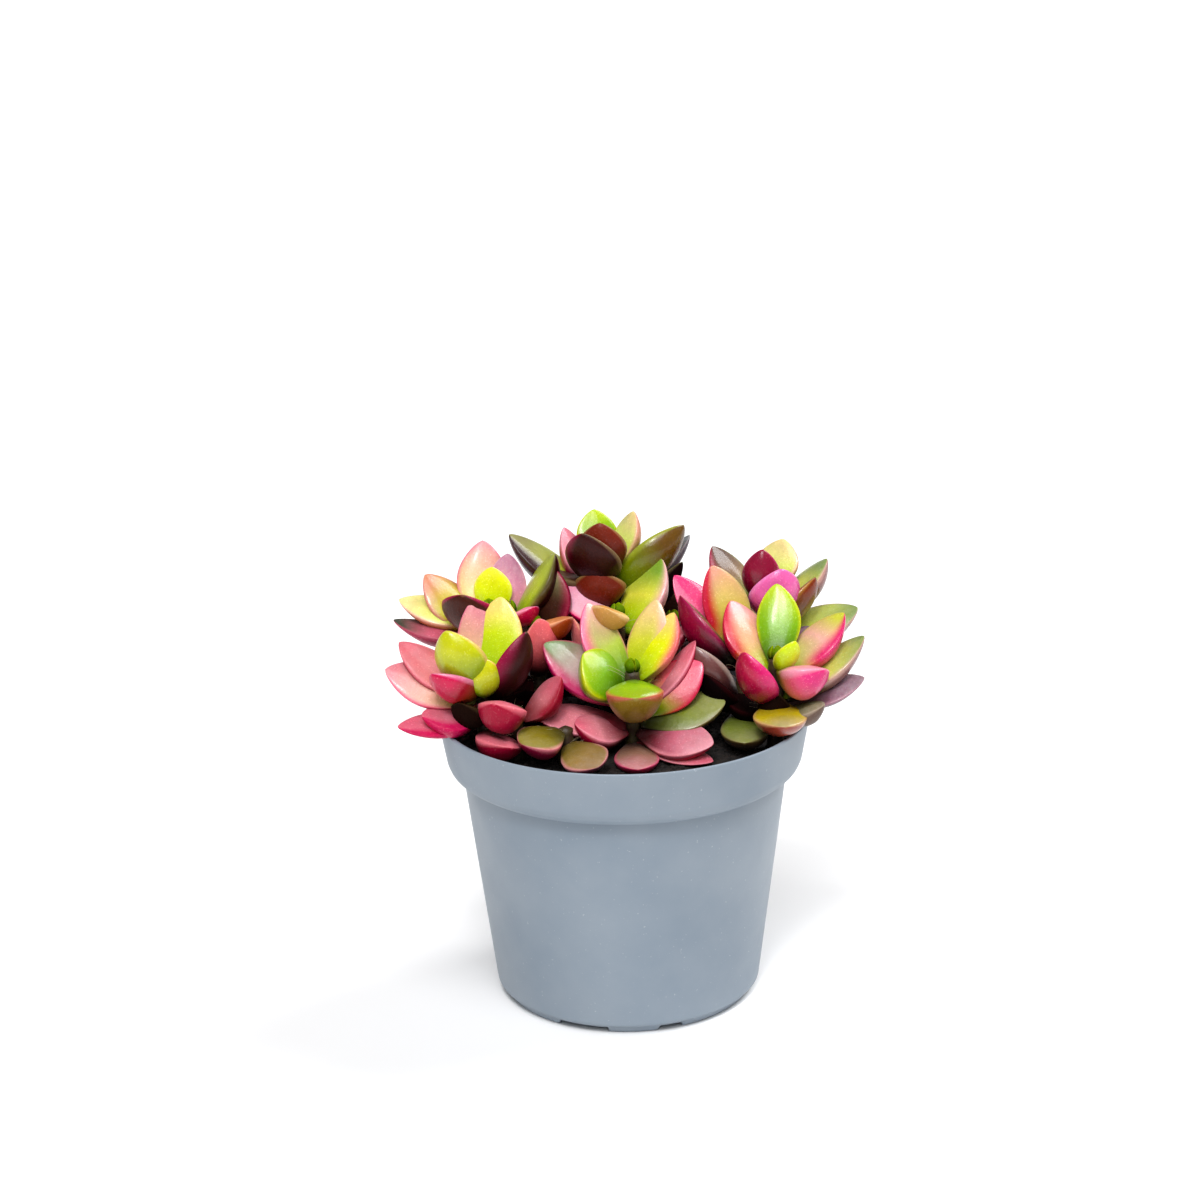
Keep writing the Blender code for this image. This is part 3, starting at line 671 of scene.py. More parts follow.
SHOOTS = (
    ShootPlan("front_left", (-31, -12), (-31, -12, 80), (
        Leaf(-140, 62, 17.5, 12, 0.84, 35, Skin.CREAM_WITH_PAINTED_HIGHLIGHT, 0.36),
        Leaf(67, 64, 19, 12, 0.90, 0, Skin.LIME),
        Leaf(105, 68, 21, 9.5, 0.72, -10, Skin.PEACH),
        Leaf(-88, 66, 10.5, 9, 0.80, 0, Skin.LIME),
        Leaf(55, 18, 15, 10, 0.50, 0, Skin.PAINTED_SHADE_LEAF),
        Leaf(-120, 36, 10, 9, 0.48, 0, Skin.OLIVE_WITH_PAINTED_SHADE),
    ), (
        Leaf(-15, 62, 18, 10, 0.72, -30, Skin.MAROON),
        Leaf(-141, 27, 14, 10, 0.84, 25, Skin.HOT_PINK, 0.44),
        Leaf(176, 17, 21.4, 11.5, 0.72, -38, Skin.PINK_TAN),
        Leaf(-156, 8, 13.5, 10.5, 0.50, -15, Skin.ROSE_EDGED),
        Leaf(-162, 1, 18.5, 9.5, 0.45, -14, Skin.ROSE_EDGED, 0.28),
        Leaf(-64, 2, 13, 11, 0.29, -15, Skin.DARK_ROSE),
        Leaf(167, 31, 20.8, 10, 0.77, -25, Skin.DUSTY_PINK),
        Leaf(100, 20, 15, 10, 0.40, 0, Skin.ROSE),
    )),
    ShootPlan("back_left", (-30, 8), (-30.5, 9, 88), (
        Leaf(98, 60, 20, 12, 0.87, 0, Skin.PEACH),
        Leaf(75, 82, 11.3, 9.2, 0.95, 0, Skin.LIME_BRIGHT),
        Leaf(-115, 40, 14, 15, 0.95, 0, Skin.MAROON_PINK, 0.36),
        Leaf(-100, 25, 13, 10, 0.45, 0, Skin.PAINTED_SHADE_LEAF),
        Leaf(125, 6, 13, 9, 0.35, 0, Skin.ROSE),
    ), (
        Leaf(160, 40, 18.5, 11, 0.84, -25, Skin.TAN),
        Leaf(170, 12, 20, 10, 0.93, -20, Skin.CREAM),
        Leaf(175, 9, 21, 8.5, 0.80, -8, Skin.DUSTY_ROSE),
        Leaf(110, 32, 18, 10, 0.66, 0, Skin.PINK),
        Leaf(60, 30, 18, 10, 0.60, 0, Skin.GREY_PINK),
    )),
    ShootPlan("back_centre", (-4, 16), (-4, 18, 98), (
        Leaf(105, 60, 13, 10, 0.95, 0, Skin.GREEN),
        Leaf(-95, 64, 15, 11.5, 0.92, 0, Skin.BROWN_ROSE, 0.34),
        Leaf(30, 62, 14, 9.5, 0.93, 0, Skin.CREAM),
        Leaf(150, 56, 16, 9.5, 0.80, 0, Skin.PINK),
        Leaf(-100, 45, 11, 12, 0.77, 0, Skin.BROWN_ROSE),
        Leaf(50, 22, 17, 10, 0.50, 0, Skin.ROSE),
        Leaf(-165, 17, 15, 10, 0.85, 0, Skin.MAROON),
        Leaf(-140, 12, 14, 10, 0.50, 0, Skin.PAINTED_SHADE_LEAF),
        Leaf(-35, 14, 14, 10, 0.50, 0, Skin.PAINTED_SHADE_LEAF),
        Leaf(95, 12, 12, 9.5, 0.28, 0, Skin.ROSE),
    ), (
        Leaf(-112, 54, 17.5, 13.5, 0.86, 0, Skin.MAROON, 0.30),
        Leaf(176, 36, 25, 11.5, 0.75, -15, Skin.OLIVE_MAROON),
        Leaf(0, 41, 22.5, 12, 0.80, -50, Skin.OLIVE_BROWN),
        Leaf(13, 38, 24, 9.5, 0.70, 0, Skin.GREY_LILAC),
        Leaf(-10, 42, 22.5, 11, 0.58, -20, Skin.MAROON_WITH_PAINTED_SHADE),
        Leaf(85, 36, 19, 10, 0.70, 0, Skin.GREY_PINK),
        Leaf(130, 26, 18, 10, 0.50, 0, Skin.PINK),
    )),
    ShootPlan("middle", (-1, 3), (-1, 4, 88), (
        Leaf(150, 33, 17.8, 10.5, 0.91, -15, Skin.HOT_PALE),
        Leaf(-105, 25, 9.5, 9, 1.04, -15, Skin.CREAM_BROWN),
        Leaf(40, 52, 19, 12.5, 0.85, 0, Skin.CREAM_GREY),
        Leaf(-165, 58, 16.5, 9, 0.50, 0, Skin.BROWN_PINK),
        Leaf(-165, 25, 15, 10, 0.42, 0, Skin.PAINTED_SHADE_LEAF),
        Leaf(-12, 12, 15, 10, 0.35, 0, Skin.PAINTED_SHADE_LEAF),
        Leaf(60, 14, 13, 10, 0.30, 0, Skin.ROSE),
    ), (
        Leaf(100, 36, 16, 10, 0.62, 0, Skin.ROSE),
        Leaf(5, 28, 17, 10, 0.60, 0, Skin.ROSE),
    )),
    ShootPlan("front_centre", (2, -12), (2, -12, 80), (
        Leaf(60, 62, 21.5, 9.8, 0.71, 0, Skin.CREAM_LIME),
        Leaf(40, 50, 17, 10, 0.90, 0, Skin.LIME_PINK),
        Leaf(133, 53, 21, 10.5, 0.80, -5, Skin.GREEN_PINK),
        Leaf(-175, 47, 13.5, 13.5, 0.72, -35, Skin.GREEN),
        Leaf(-87, 2, 12.3, 12.8, 0.90, 0, Skin.BOAT, 0.58),
        Leaf(25, 45, 20, 8, 0.50, 0, Skin.ROSE),
        Leaf(100, 25, 14, 10, 0.30, 0, Skin.PAINTED_SHADE_LEAF),
    ), (
        Leaf(170, 34, 22, 13.2, 0.65, -30, Skin.GREY_PINK),
        Leaf(10, 35, 17.5, 11.5, 0.50, 45, Skin.SALMON),
        Leaf(-171, 10.5, 21, 10, 0.34, -24, Skin.ROSE, 0.36),
        Leaf(-155, 16, 13, 10.5, 0.27, -20, Skin.ROSE, 0.48),
        Leaf(-31, -1, 18.8, 11, 0.28, 25, Skin.PINK_OLIVE),
        Leaf(0, 12, 19.5, 12.5, 0.38, 25, Skin.OLIVE),
        Leaf(-87, -1, 15.5, 10, 0.11, 0, Skin.PINK_BLOOM, 0.34),
        Leaf(-32, -5, 19, 8, 0.14, 10, Skin.ROSE, 0.24),
    )),
    ShootPlan("front_right", (34, -11), (34, -11, 82), (
        Leaf(85, 58, 18, 10, 0.95, 0, Skin.GREEN),
        Leaf(130, 47, 19, 12.5, 0.83, 0, Skin.PEACH_LIME),
        Leaf(-60, 55, 10.3, 5.8, 0.90, -15, Skin.LIME_BRIGHT),
        Leaf(20, 38, 19, 11.5, 0.86, 10, Skin.PEACH_GREEN),
        Leaf(-40, 18, 12, 9, 0.42, 10, Skin.OLIVE_GREY),
        Leaf(-100, 66, 9, 7.5, 0.30, 0, Skin.OLIVE_WITH_PAINTED_SHADE),
        Leaf(150, 20, 12, 9, 0.35, 0, Skin.PAINTED_SHADE_LEAF),
    ), (
        Leaf(-135, 57, 15.5, 10.8, 0.57, 0, Skin.MAGENTA_PINK),
        Leaf(-42, 15, 12.8, 11.5, 0.87, -18, Skin.SALMON_PINK, 0.52),
        Leaf(10, 34, 22.5, 10.5, 0.58, 10, Skin.GREY_GREEN),
        Leaf(0, 17, 19, 9.5, 0.50, 20, Skin.DUSKY, 0.30),
        Leaf(-85, -4, 13.5, 12, 0.53, 0, Skin.OLIVE_TAN, 0.38),
    )),
    ShootPlan("back_right", (32, 12), (33, 13, 92), (
        Leaf(-98, 74, 14.5, 9, 0.88, 0, Skin.MAGENTA_DEEP),
        Leaf(55, 57, 12, 11, 0.97, 0, Skin.CREAM),
        Leaf(-70, 58, 15, 12.5, 0.80, 0, Skin.ORCHID),
        Leaf(-8, 14, 13, 9, 0.60, 10, Skin.DUSKY),
        Leaf(-155, 20, 15, 10, 0.45, 0, Skin.PAINTED_SHADE_LEAF),
        Leaf(35, 8, 13, 9, 0.30, 0, Skin.ROSE),
    ), (
        Leaf(150, 46, 17, 10, 0.85, -15, Skin.EDGED_GREY),
        Leaf(14, 41, 18, 11, 0.78, 0, Skin.GREY_GREEN),
        Leaf(0, 16, 21, 12, 0.62, 25, Skin.GREY_GREEN),
        Leaf(-17, 46, 15, 10.5, 0.74, -10, Skin.BROWN),
        Leaf(110, 32, 18, 10, 0.65, 0, Skin.PINK),
        Leaf(60, 24, 18, 10, 0.50, 0, Skin.GREY_PINK),
    )),
    ShootPlan("left_middle", (-25, 7), (-26, 8, 88), (
        Leaf(12, 56, 16.8, 12, 0.98, 0, Skin.OLIVE_SHADED),
        Leaf(92, 64, 16.5, 9.5, 0.88, 0, Skin.PINK_GREY),
        Leaf(-50, 28, 9, 7.5, 0.98, 0, Skin.HOT_PINK),
        Leaf(-32, 14, 9.5, 8, 0.77, 0, Skin.ROSE),
        Leaf(-95, 30, 12, 9, 0.50, 0, Skin.PAINTED_SHADE_LEAF),
    ), ()),
    ShootPlan("centre_left", (-19, 2), (-20, 3, 86), (
        Leaf(54, 72, 17, 12, 0.86, 0, Skin.MAROON),
        Leaf(-44, 20, 9.5, 10, 1.04, 0, Skin.BROWN_PEACH),
        Leaf(-85, 62, 17, 9.5, 0.60, 25, Skin.SALMON_LIGHT),
        Leaf(-100, 32, 12, 9, 0.30, 0, Skin.PAINTED_SHADE_LEAF),
        Leaf(-15, 30, 14, 9.5, 0.42, 0, Skin.PAINTED_SHADE_LEAF),
    ), ()),
    ShootPlan("right_middle", (26, -3), (28, -3, 83), (
        Leaf(140, 68, 21, 11, 0.88, -30, Skin.PEACH_EDGED),
        Leaf(158, 46, 20, 11.8, 0.80, 35, Skin.MAGENTA),
        Leaf(-165, 54, 17, 9.5, 0.40, 45, Skin.SILVER),
        Leaf(150, 44, 23, 9.5, 0.90, -30, Skin.VIVID_PINK),
        Leaf(-140, 45, 13, 9.5, 0.36, 0, Skin.PAINTED_SHADE_LEAF),
        Leaf(165, 34, 15.5, 10, 0.45, 0, Skin.DARK_ROSE),
    ), (
        Leaf(-90, -5, 16.2, 11, 0.27, 0, Skin.OLIVE),
    )),
    ShootPlan("low_left", (-24, -15), (-24, -15, 73), (
        Leaf(-5, 48, 13, 9.5, 0.80, 25, Skin.ROSE_SHADED),
        Leaf(-114, 27, 10, 11.5, 1.00, 0, Skin.DARK_ROSE, 0.50),
        Leaf(70, 30, 10, 8, 0.40, 0, Skin.PAINTED_SHADE_LEAF),
    ), ()),
    ShootPlan("low_front", (-13, -18), (-13, -18, 69), (
        Leaf(-141, -2, 10.8, 11.5, 1.00, -10, Skin.OLIVE_YELLOW),
        Leaf(-62, -4, 13.6, 10.5, 0.58, 15, Skin.OLIVE_PINK, 0.34),
    ), ()),
    ShootPlan("low_back_left", (-18, 24), (-18, 25, 76), (
        Leaf(90, 36, 15.5, 9, 0.85, 0, Skin.PINK),
        Leaf(150, 30, 16, 9, 0.80, 0, Skin.ROSE),
        Leaf(30, 32, 16, 9, 0.80, 0, Skin.GREY_PINK),
        Leaf(-150, 48, 12, 8.5, 0.95, 0, Skin.MAROON),
        Leaf(-30, 48, 12, 8.5, 0.95, 0, Skin.MAROON),
        Leaf(95, 72, 11, 8.5, 1.00, 0, Skin.GREEN),
        Leaf(60, 6, 12, 9, 0.40, 0, Skin.DUSKY),
        Leaf(130, 10, 12, 9, 0.62, 0, Skin.ROSE),
    ), ()),
    ShootPlan("low_back_middle", (12, 26), (12, 26.5, 79), (
        Leaf(90, 36, 14, 9, 0.85, 0, Skin.SALMON),
        Leaf(150, 30, 16, 9, 0.80, 0, Skin.PINK),
        Leaf(30, 32, 15, 9, 0.80, 0, Skin.ROSE),
        Leaf(-150, 48, 12, 8.5, 0.95, 0, Skin.MAROON),
        Leaf(-30, 48, 12, 8.5, 0.95, 0, Skin.MAROON),
        Leaf(85, 74, 11, 8.5, 1.00, 0, Skin.MAROON),
        Leaf(60, 10, 11, 9, 0.60, 0, Skin.ROSE),
        Leaf(125, 6, 12, 9, 0.40, 0, Skin.DUSKY),
    ), ()),
    ShootPlan("low_back_right", (30.2, 22.9), (32.5, 24.6, 75), (
        Leaf(95, 34, 13, 9, 0.85, 0, Skin.PINK),
        Leaf(35, 30, 12.5, 9, 0.80, 0, Skin.ROSE),
        Leaf(165, 40, 13, 9, 0.90, 0, Skin.GREY_PINK),
        Leaf(-58, 42, 11, 8.5, 0.88, 0, Skin.MAROON),
        Leaf(66, 70, 10, 8, 1.00, 0, Skin.GREEN),
        Leaf(125, 12, 10.5, 9, 0.75, 0, Skin.ROSE),
    ), ()),
)


# ---------------------------------------------------------------- mesh helpers


def add_object(name: str, verts: Array, faces: Sequence[Sequence[int]]) -> bpy.types.Object:
    """Make a smooth-shaded object.

    Args:
        name: The object's name.
        verts: Vertex positions in millimetres.
        faces: Vertex numbers of each face.

    Returns:
        The object, with its place in its mesh.
    """
    mesh = bpy.data.meshes.new(name)
    mesh.from_pydata((np.asarray(verts) * MM).tolist(), [], faces)
    work = bmesh.new()
    work.from_mesh(mesh)
    bmesh.ops.recalc_face_normals(work, faces=work.faces)
    work.to_mesh(mesh)
    work.free()
    mesh.shade_smooth()
    made = bpy.data.objects.new(name, mesh)
    bpy.context.collection.objects.link(made)
    return made


def loft(rings: int, sides: int) -> Faces:
    """Faces that join rings of vertices laid one after another, closed by a point at each end.

    Args:
        rings: Number of rings.
        sides: Vertices in each ring.

    Returns:
        The faces; the two end points are the vertices that follow the last ring.
    """
    faces = []
    for ring in range(rings - 1):
        for side in range(sides):
            after = (side + 1) % sides
            low = ring * sides
            faces.append((low + side, low + after, low + sides + after, low + sides + side))
    for pole, ring in enumerate((0, rings - 1), start=rings * sides):
        low = ring * sides
        faces.extend((low + side, low + (side + 1) % sides, pole) for side in range(sides))
    return faces


def spin(section: Array, turns: Array) -> Array:
    """Spin a section about the upright axis.

    Args:
        section: Radius and height of each point.
        turns: The turns, in radians.

    Returns:
        A grid of x, y and z, with a row for each point of the section.
    """
    radius, turn = np.meshgrid(section[:, 0], turns, indexing="ij")
    height = np.repeat(section[:, 1:], len(turns), 1)
    return np.stack([radius * np.cos(turn), radius * np.sin(turn), height], -1)


def add_round(name: str, grid: Array, ends: Point) -> bpy.types.Object:
    """Make an object of a spun section.

    Args:
        name: The object's name.
        grid: The grid from spin.
        ends: Heights of the points on the axis that close the first and the last row.

    Returns:
        The object.
    """
    verts = np.vstack([grid.reshape(-1, 3), *([0, 0, height] for height in ends)])
    return add_object(name, verts, loft(*grid.shape[:2]))


def tube(points: Array, radii: Sequence[float], sides: int) -> tuple[Array, Faces]:
    """A round tube along a path, closed by a blunt point at each end.

    Args:
        points: The path's points.
        radii: The radius at each point.
        sides: Vertices round the tube.

    Returns:
        The vertices and the faces.
    """
    bluntness = 0.5
    nearly_level = 0.9
    along = np.gradient(points, axis=0)
    along /= np.linalg.norm(along, axis=1, keepdims=True)
    guide = np.array([1.0, 0.0, 0.0]) if abs(along[0][0]) < nearly_level else np.array([0.0, 1.0, 0.0])
    angles = np.linspace(0, 2 * math.pi, sides, endpoint=False)
    verts = []
    for point, axis, radius in zip(points, along, radii):
        side = np.cross(axis, guide)
        side /= np.linalg.norm(side)
        other = np.cross(axis, side)
        verts.extend(point + radius * (math.cos(a) * side + math.sin(a) * other) for a in angles)
    verts.append(points[0] - along[0] * radii[0] * bluntness)
    verts.append(points[-1] + along[-1] * radii[-1] * bluntness)
    return np.array(verts), loft(len(points), sides)


def paint(piece: bpy.types.Object, name: str, values: Array) -> None:
    """Store a colour (four columns) or a number for each vertex.

    Args:
        piece: The object whose mesh is painted.
        name: The attribute's name.
        values: One row or number for each vertex.
    """
    kind, member = ("FLOAT_COLOR", "color") if values.ndim == 2 else ("FLOAT", "value")
    attribute = piece.data.attributes.new(name, kind, "POINT")
    attribute.data.foreach_set(member, values.astype(np.float32).ravel())


def bake_modifiers(piece: bpy.types.Object) -> None:
    """Make an object's modified shape its own mesh.

    Args:
        piece: The object, which keeps none of its modifiers.
    """
    graph = bpy.context.evaluated_depsgraph_get()
    shaped = bpy.data.meshes.new_from_object(piece.evaluated_get(graph))
    piece.modifiers.clear()
    piece.data = shaped


def hand_over(piece: bpy.types.Object, nodes: Iterable[str], finish: bpy.types.Material) -> None:
    """Give a finished piece its material, hang it under the root body and hide the CAD nodes that it stands
    for.

    Args:
        piece: The finished piece.
        nodes: CAD nodes that the piece stands for.
        finish: Its material.
    """
    piece.data.materials.clear()
    piece.data.materials.append(finish)
    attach(piece, "root")
    for node in nodes:
        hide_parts(node)
    LOG.info("%s: %d faces", piece.name, len(piece.data.polygons))


# ---------------------------------------------------------------- leaves

SEEDS_PER_SHOOT = 1000
STEM_SEED = 500
HAIR_SEED = 900
BUD_SEED = 30
OUTER_SEED = 50


@dataclass(frozen=True)
class Lattice:
    """Places on a leaf's skin: share of its length, and cosine and sine of the angle round it."""

    t: Array
    across: Array
    up: Array


@dataclass(frozen=True)
class LeafPaint:
    """Where a leaf's colours lie.

    A stop or a range along the leaf is a share of its length. A range across it is the sine or cosine
    of the angle round it, and a rim is where the margin's colour starts on its upper or under side.
    Waves are radians along and across the leaf. Painted shade darkens each leaf towards its base,
    its underside more than its upper side, as the shade deep in the rosettes.
    """

    upper_stops: tuple[float, float, float] = (0.12, 0.52, 0.92)
    under_stops: Point = (0.1, 0.75)
    drift: float = 0.05
    drift_waves: Point = (7, 2)
    fold_range: Point = (-0.12, 0.22)
    fold_sway: float = 0.06
    fold_waves: float = 6
    upper_rim: float = 0.84
    under_rim: float = 0.95
    full_rim: float = 0.995
    rim_start: Point = (0.12, 0.4)
    rim_strength: float = 0.75
    flush_spread: Point = (0.25, 0.35)
    flush_start: Point = (0.1, 0.45)
    # painted shade: how dark a leaf's base is painted, over what span, and how much the upper side is spared
    painted_shade_at_base: float = 0.22
    painted_shade_span: Point = (-0.05, 0.34)
    painted_shade_upper_lift: float = 0.5
    colour_power: float = 1.22
    colour_depth: float = 0.98
    brightness_range: Point = (0.93, 1.07)
    least_bloom: float = 0.35
    bloom_range: Point = (0.3, 0.9)

    @staticmethod
    def blend(place: Array, colours: Sequence[Colour], stops: Sequence[float]) -> Array:
        """Colours along a ramp, in linear light."""
        table = np.array([linear(colour) for colour in colours])
        return np.stack([np.interp(place, stops, table[:, channel]) for channel in range(3)], -1)

    @staticmethod
    def cover(tint: Array, colour: Colour, share: Array) -> Array:
        """Lay a display colour over a tint, by a share at each point."""
        return tint + (np.array(linear(colour)) - tint) * share[..., None]

    def margin(self, spots: Lattice) -> Array:
        """How strongly the margin's colour shows.

        Args:
            spots: Places on the leaf.

        Returns:
            The share of the margin's colour at each place.
        """
        rim = np.where(spots.up > 0, self.upper_rim, self.under_rim)
        share = smooth_step(0, 1, (np.abs(spots.across) - rim) / (self.full_rim - rim))
        return share * smooth_step(*self.rim_start, spots.t) * self.rim_strength

    def flush(self, spots: Lattice, reach: float) -> Array:
        """How strongly the flush from one margin shows.

        Args:
            spots: Places on the leaf.
            reach: How far the flush spreads, below zero from the other margin.

        Returns:
            The share of the flush's colour at each place.
        """
        inner = 1 - abs(reach)
        low, high = self.flush_spread
        share = smooth_step(inner - low, inner + high, spots.across * math.copysign(1, reach))
        return share * smooth_step(*self.flush_start, spots.t)

    def dress(self, piece: bpy.types.Object, skin: Palette, spots: Lattice, dice: Dice) -> None:
        """Paint a leaf's tint, with painted shade towards its base, and its bloom.

        Args:
            piece: The leaf's object.
            skin: Its colours.
            spots: The places of its body's vertices.
            dice: The leaf's own random numbers.
        """
        t = spots.t
        long, wide = self.drift_waves
        drift = self.drift * np.sin(long * t + wide * spots.across + dice.uniform(0, 6))
        place = np.clip(t + (drift + dice.uniform(-self.drift, self.drift)), 0, 1)
        upper = self.blend(place, skin.upper, self.upper_stops)
        under = self.blend(place, skin.under, self.under_stops)
        sway = self.fold_sway * np.sin(self.fold_waves * t + dice.uniform(0, 6))
        top_share = smooth_step(*self.fold_range, spots.up + sway)
        tint = under + (upper - under) * top_share[..., None]
        tint = self.cover(tint, skin.edge, self.margin(spots))
        if skin.reach:
            tint = self.cover(tint, skin.flush, self.flush(spots, skin.reach))
        # painted shade: darken the leaf towards its base, the underside more than the upper side
        painted_shade_factor = self.painted_shade_at_base + (1 - self.painted_shade_at_base) * smooth_step(*self.painted_shade_span, t)
        painted_shade_factor = painted_shade_factor + (1 - painted_shade_factor) * self.painted_shade_upper_lift * top_share
        tint = tint**self.colour_power * self.colour_depth * dice.uniform(*self.brightness_range)
        tint = tint * painted_shade_factor[..., None]
        flat = np.vstack([tint.reshape(-1, 3), tint[0].mean(0), tint[-1].mean(0)])
        paint(piece, "tint", np.hstack([flat, np.ones((len(flat), 1))]))
        rise = self.least_bloom + (1 - self.least_bloom) * smooth_step(*self.bloom_range, t)
        veil = skin.bloom * rise * top_share
        paint(piece, "bloom", np.append(veil.ravel(), [veil[0].mean(), veil[-1].mean()]))


@dataclass(frozen=True)
class LeafShape:
    """Shape shared by all leaves: flat-crowned above, deep and rounded below, pointed and bowed.

    A wave of the skin's unevenness is its height and its number of radians along and across the leaf,
    and takes one of the random phases. The heel closes the base: its place along the leaf in
    millimetres, and its height as a share of the leaf's thickness.
    """

    stations: int = 30
    sides: int = 32
    tip_crowding: float = 1.25
    widest: float = 0.52
    base_width: float = 0.36
    deepest: float = 0.42
    base_depth: float = 0.5
    tip_power: float = 0.68
    bow: float = 0.12
    crown: float = 0.24
    crown_power: float = 1.5
    belly_power: float = 1.18
    ripple: float = 0.13
    ripple_reach: float = 1.02
    waves: tuple[tuple[float, float, float], ...] = ((1.0, 5.5, 1.3), (0.7, 9.0, -2.0), (0.6, 4.0, 6.0))
    phases: int = 6
    lean: float = 0.035
    seat_radius: float = 1.7
    heel: Point = (-0.6, -0.2)
    colours: LeafPaint = LeafPaint()

    def outline(self, t: Array, base: float, peak: float) -> Array:
        """Rise from a base share to 1 at the peak, then fall to the pointed tip.

        Args:
            t: Share of the length.
            base: The share at the leaf's base.
            peak: Where along the length the share is 1.

        Returns:
            The share at each place.
        """
        rising = base + (1 - base) * np.sin(np.pi / 2 * np.minimum(t / peak, 1))
        fall = np.clip((t - peak) / (1 - peak), 0, 1)
        return np.where(t < peak, rising, np.cos(np.pi / 2 * fall) ** self.tip_power)

    def axes(self, leaf: Leaf) -> tuple[Array, Array, Array, Array]:
        """A leaf's own axes.

        Args:
            leaf: The leaf.

        Returns:
            Its outward direction on the level, its length, side and upper axes.
        """
        turn, rise, roll = (math.radians(value) for value in (leaf.turn, leaf.rise, leaf.roll))
        outward = np.array([math.cos(turn), math.sin(turn), 0.0])
        upward = np.array([0.0, 0.0, 1.0])
        length_axis = outward * math.cos(rise) + upward * math.sin(rise)
        upper_axis = upward * math.cos(rise) - outward * math.sin(rise)
        side_axis = np.cross(upper_axis, length_axis)
        side = side_axis * math.cos(roll) + upper_axis * math.sin(roll)
        upper = upper_axis * math.cos(roll) - side_axis * math.sin(roll)
        return outward, length_axis, side, upper

    def swell(self, leaf: Leaf, spots: Lattice, dice: Dice) -> tuple[Array, Array]:
        """Give the leaf its width and depth.

        Args:
            leaf: The leaf.
            spots: Places on its skin.
            dice: The leaf's own random numbers.

        Returns:
            How far sideways and how high each place lies, in millimetres.
        """
        t, across, up = spots.t, spots.across, spots.up
        width = self.outline(t, self.base_width, self.widest)
        depth = self.outline(t, self.base_depth, self.deepest)
        half = leaf.width / 2 * width
        belly = leaf.thickness * leaf.width * depth
        top = self.crown * leaf.thickness * leaf.width * width
        phases = dice.uniform(0, 2 * np.pi, self.phases)
        wave = sum(
            high * np.sin(long * t + wide * across + phase)
            for (high, long, wide), phase in zip(self.waves, phases)
        )
        ripple = self.ripple * wave * np.sin(np.pi * np.clip(t * self.ripple_reach, 0, 1)) ** 0.5
        lean = dice.uniform(-self.lean, self.lean) * leaf.length * 4 * t * (1 - t)
        rise = np.clip(up, 0, 1) ** self.crown_power
        keel = np.clip(-up, 0, 1) ** self.belly_power
        height = np.where(up > 0, top * rise, -belly * keel) + ripple * up
        return half * across + lean, height + self.bow * leaf.length * t * (t - 1)

    def grow(self, name: str, leaf: Leaf, stem_point: Array, seed: int) -> bpy.types.Object:
        """Build one leaf and paint its colours.

        Args:
            name: The object's name.
            leaf: The leaf's plan.
            stem_point: Point of the stem's axis where it grows, in millimetres.
            seed: Number that makes this leaf's small unevenness its own.

        Returns:
            The leaf, closed at both ends.
        """
        dice = np.random.default_rng(seed)
        outward, length_axis, side_axis, upper_axis = self.axes(leaf)
        seat = stem_point + outward * self.seat_radius
        along = 1 - (1 - np.linspace(0, 1, self.stations + 1)[:-1]) ** self.tip_crowding
        angles = np.linspace(0, 2 * np.pi, self.sides, endpoint=False)
        t, a = np.meshgrid(along, angles, indexing="ij")
        spots = Lattice(t, np.cos(a), np.sin(a))
        sideways, height = self.swell(leaf, spots, dice)

        def place(x: Array, y: Array, z: Array) -> Array:
            """Turn leaf coordinates into world ones."""
            return seat + np.outer(x, length_axis) + np.outer(y, side_axis) + np.outer(z, upper_axis)

        body = place(t.ravel() * leaf.length, sideways.ravel(), height.ravel())
        heel, drop = self.heel
        heel_height = drop * leaf.thickness * leaf.width
        ends = place(np.array([heel, leaf.length]), np.zeros(2), np.array([heel_height, 0]))
        made = add_object(name, np.vstack([body, ends]), loft(len(along), self.sides))
        self.colours.dress(made, leaf.skin.value, spots, dice)
        return made


@dataclass(frozen=True)
class Tuft:
    """Thin curved threads that lean out from a stem near its crown.

    A pair is the least and the greatest value that a hair may have. The root is a share of the stem's
    radius.
    """

    hairs: int = 16
    seats: Point = (0.35, 0.98)
    root: float = 0.8
    reaches: Point = (2.5, 5.0)
    sway: float = 0.8
    lifts: Point = (0.2, 1.1)
    droop: float = 0.4
    radius: float = 0.055
    taper: float = 0.7
    steps: int = 6
    sides: int = 5


@dataclass(frozen=True)
class Bud:
    """One young leaf, repeated round the tip of each stem that has enough inner leaves."""

    leaf: Leaf = Leaf(0, 92, 3.4, 2.6, 0.99, 0, Skin.BUD, 0.4)
    shape: LeafShape = LeafShape(stations=14, sides=16, ripple=0, seat_radius=0.8)
    leaves: int = 3
    turn_per_shoot: float = 47
    fewest_inner: int = 4


@dataclass(frozen=True)
class ShootFinishes:
    """Materials of the stems, the hairs and the leaves."""

    stem: bpy.types.Material
    hair: bpy.types.Material
    leaves: dict[Sheen, bpy.types.Material]


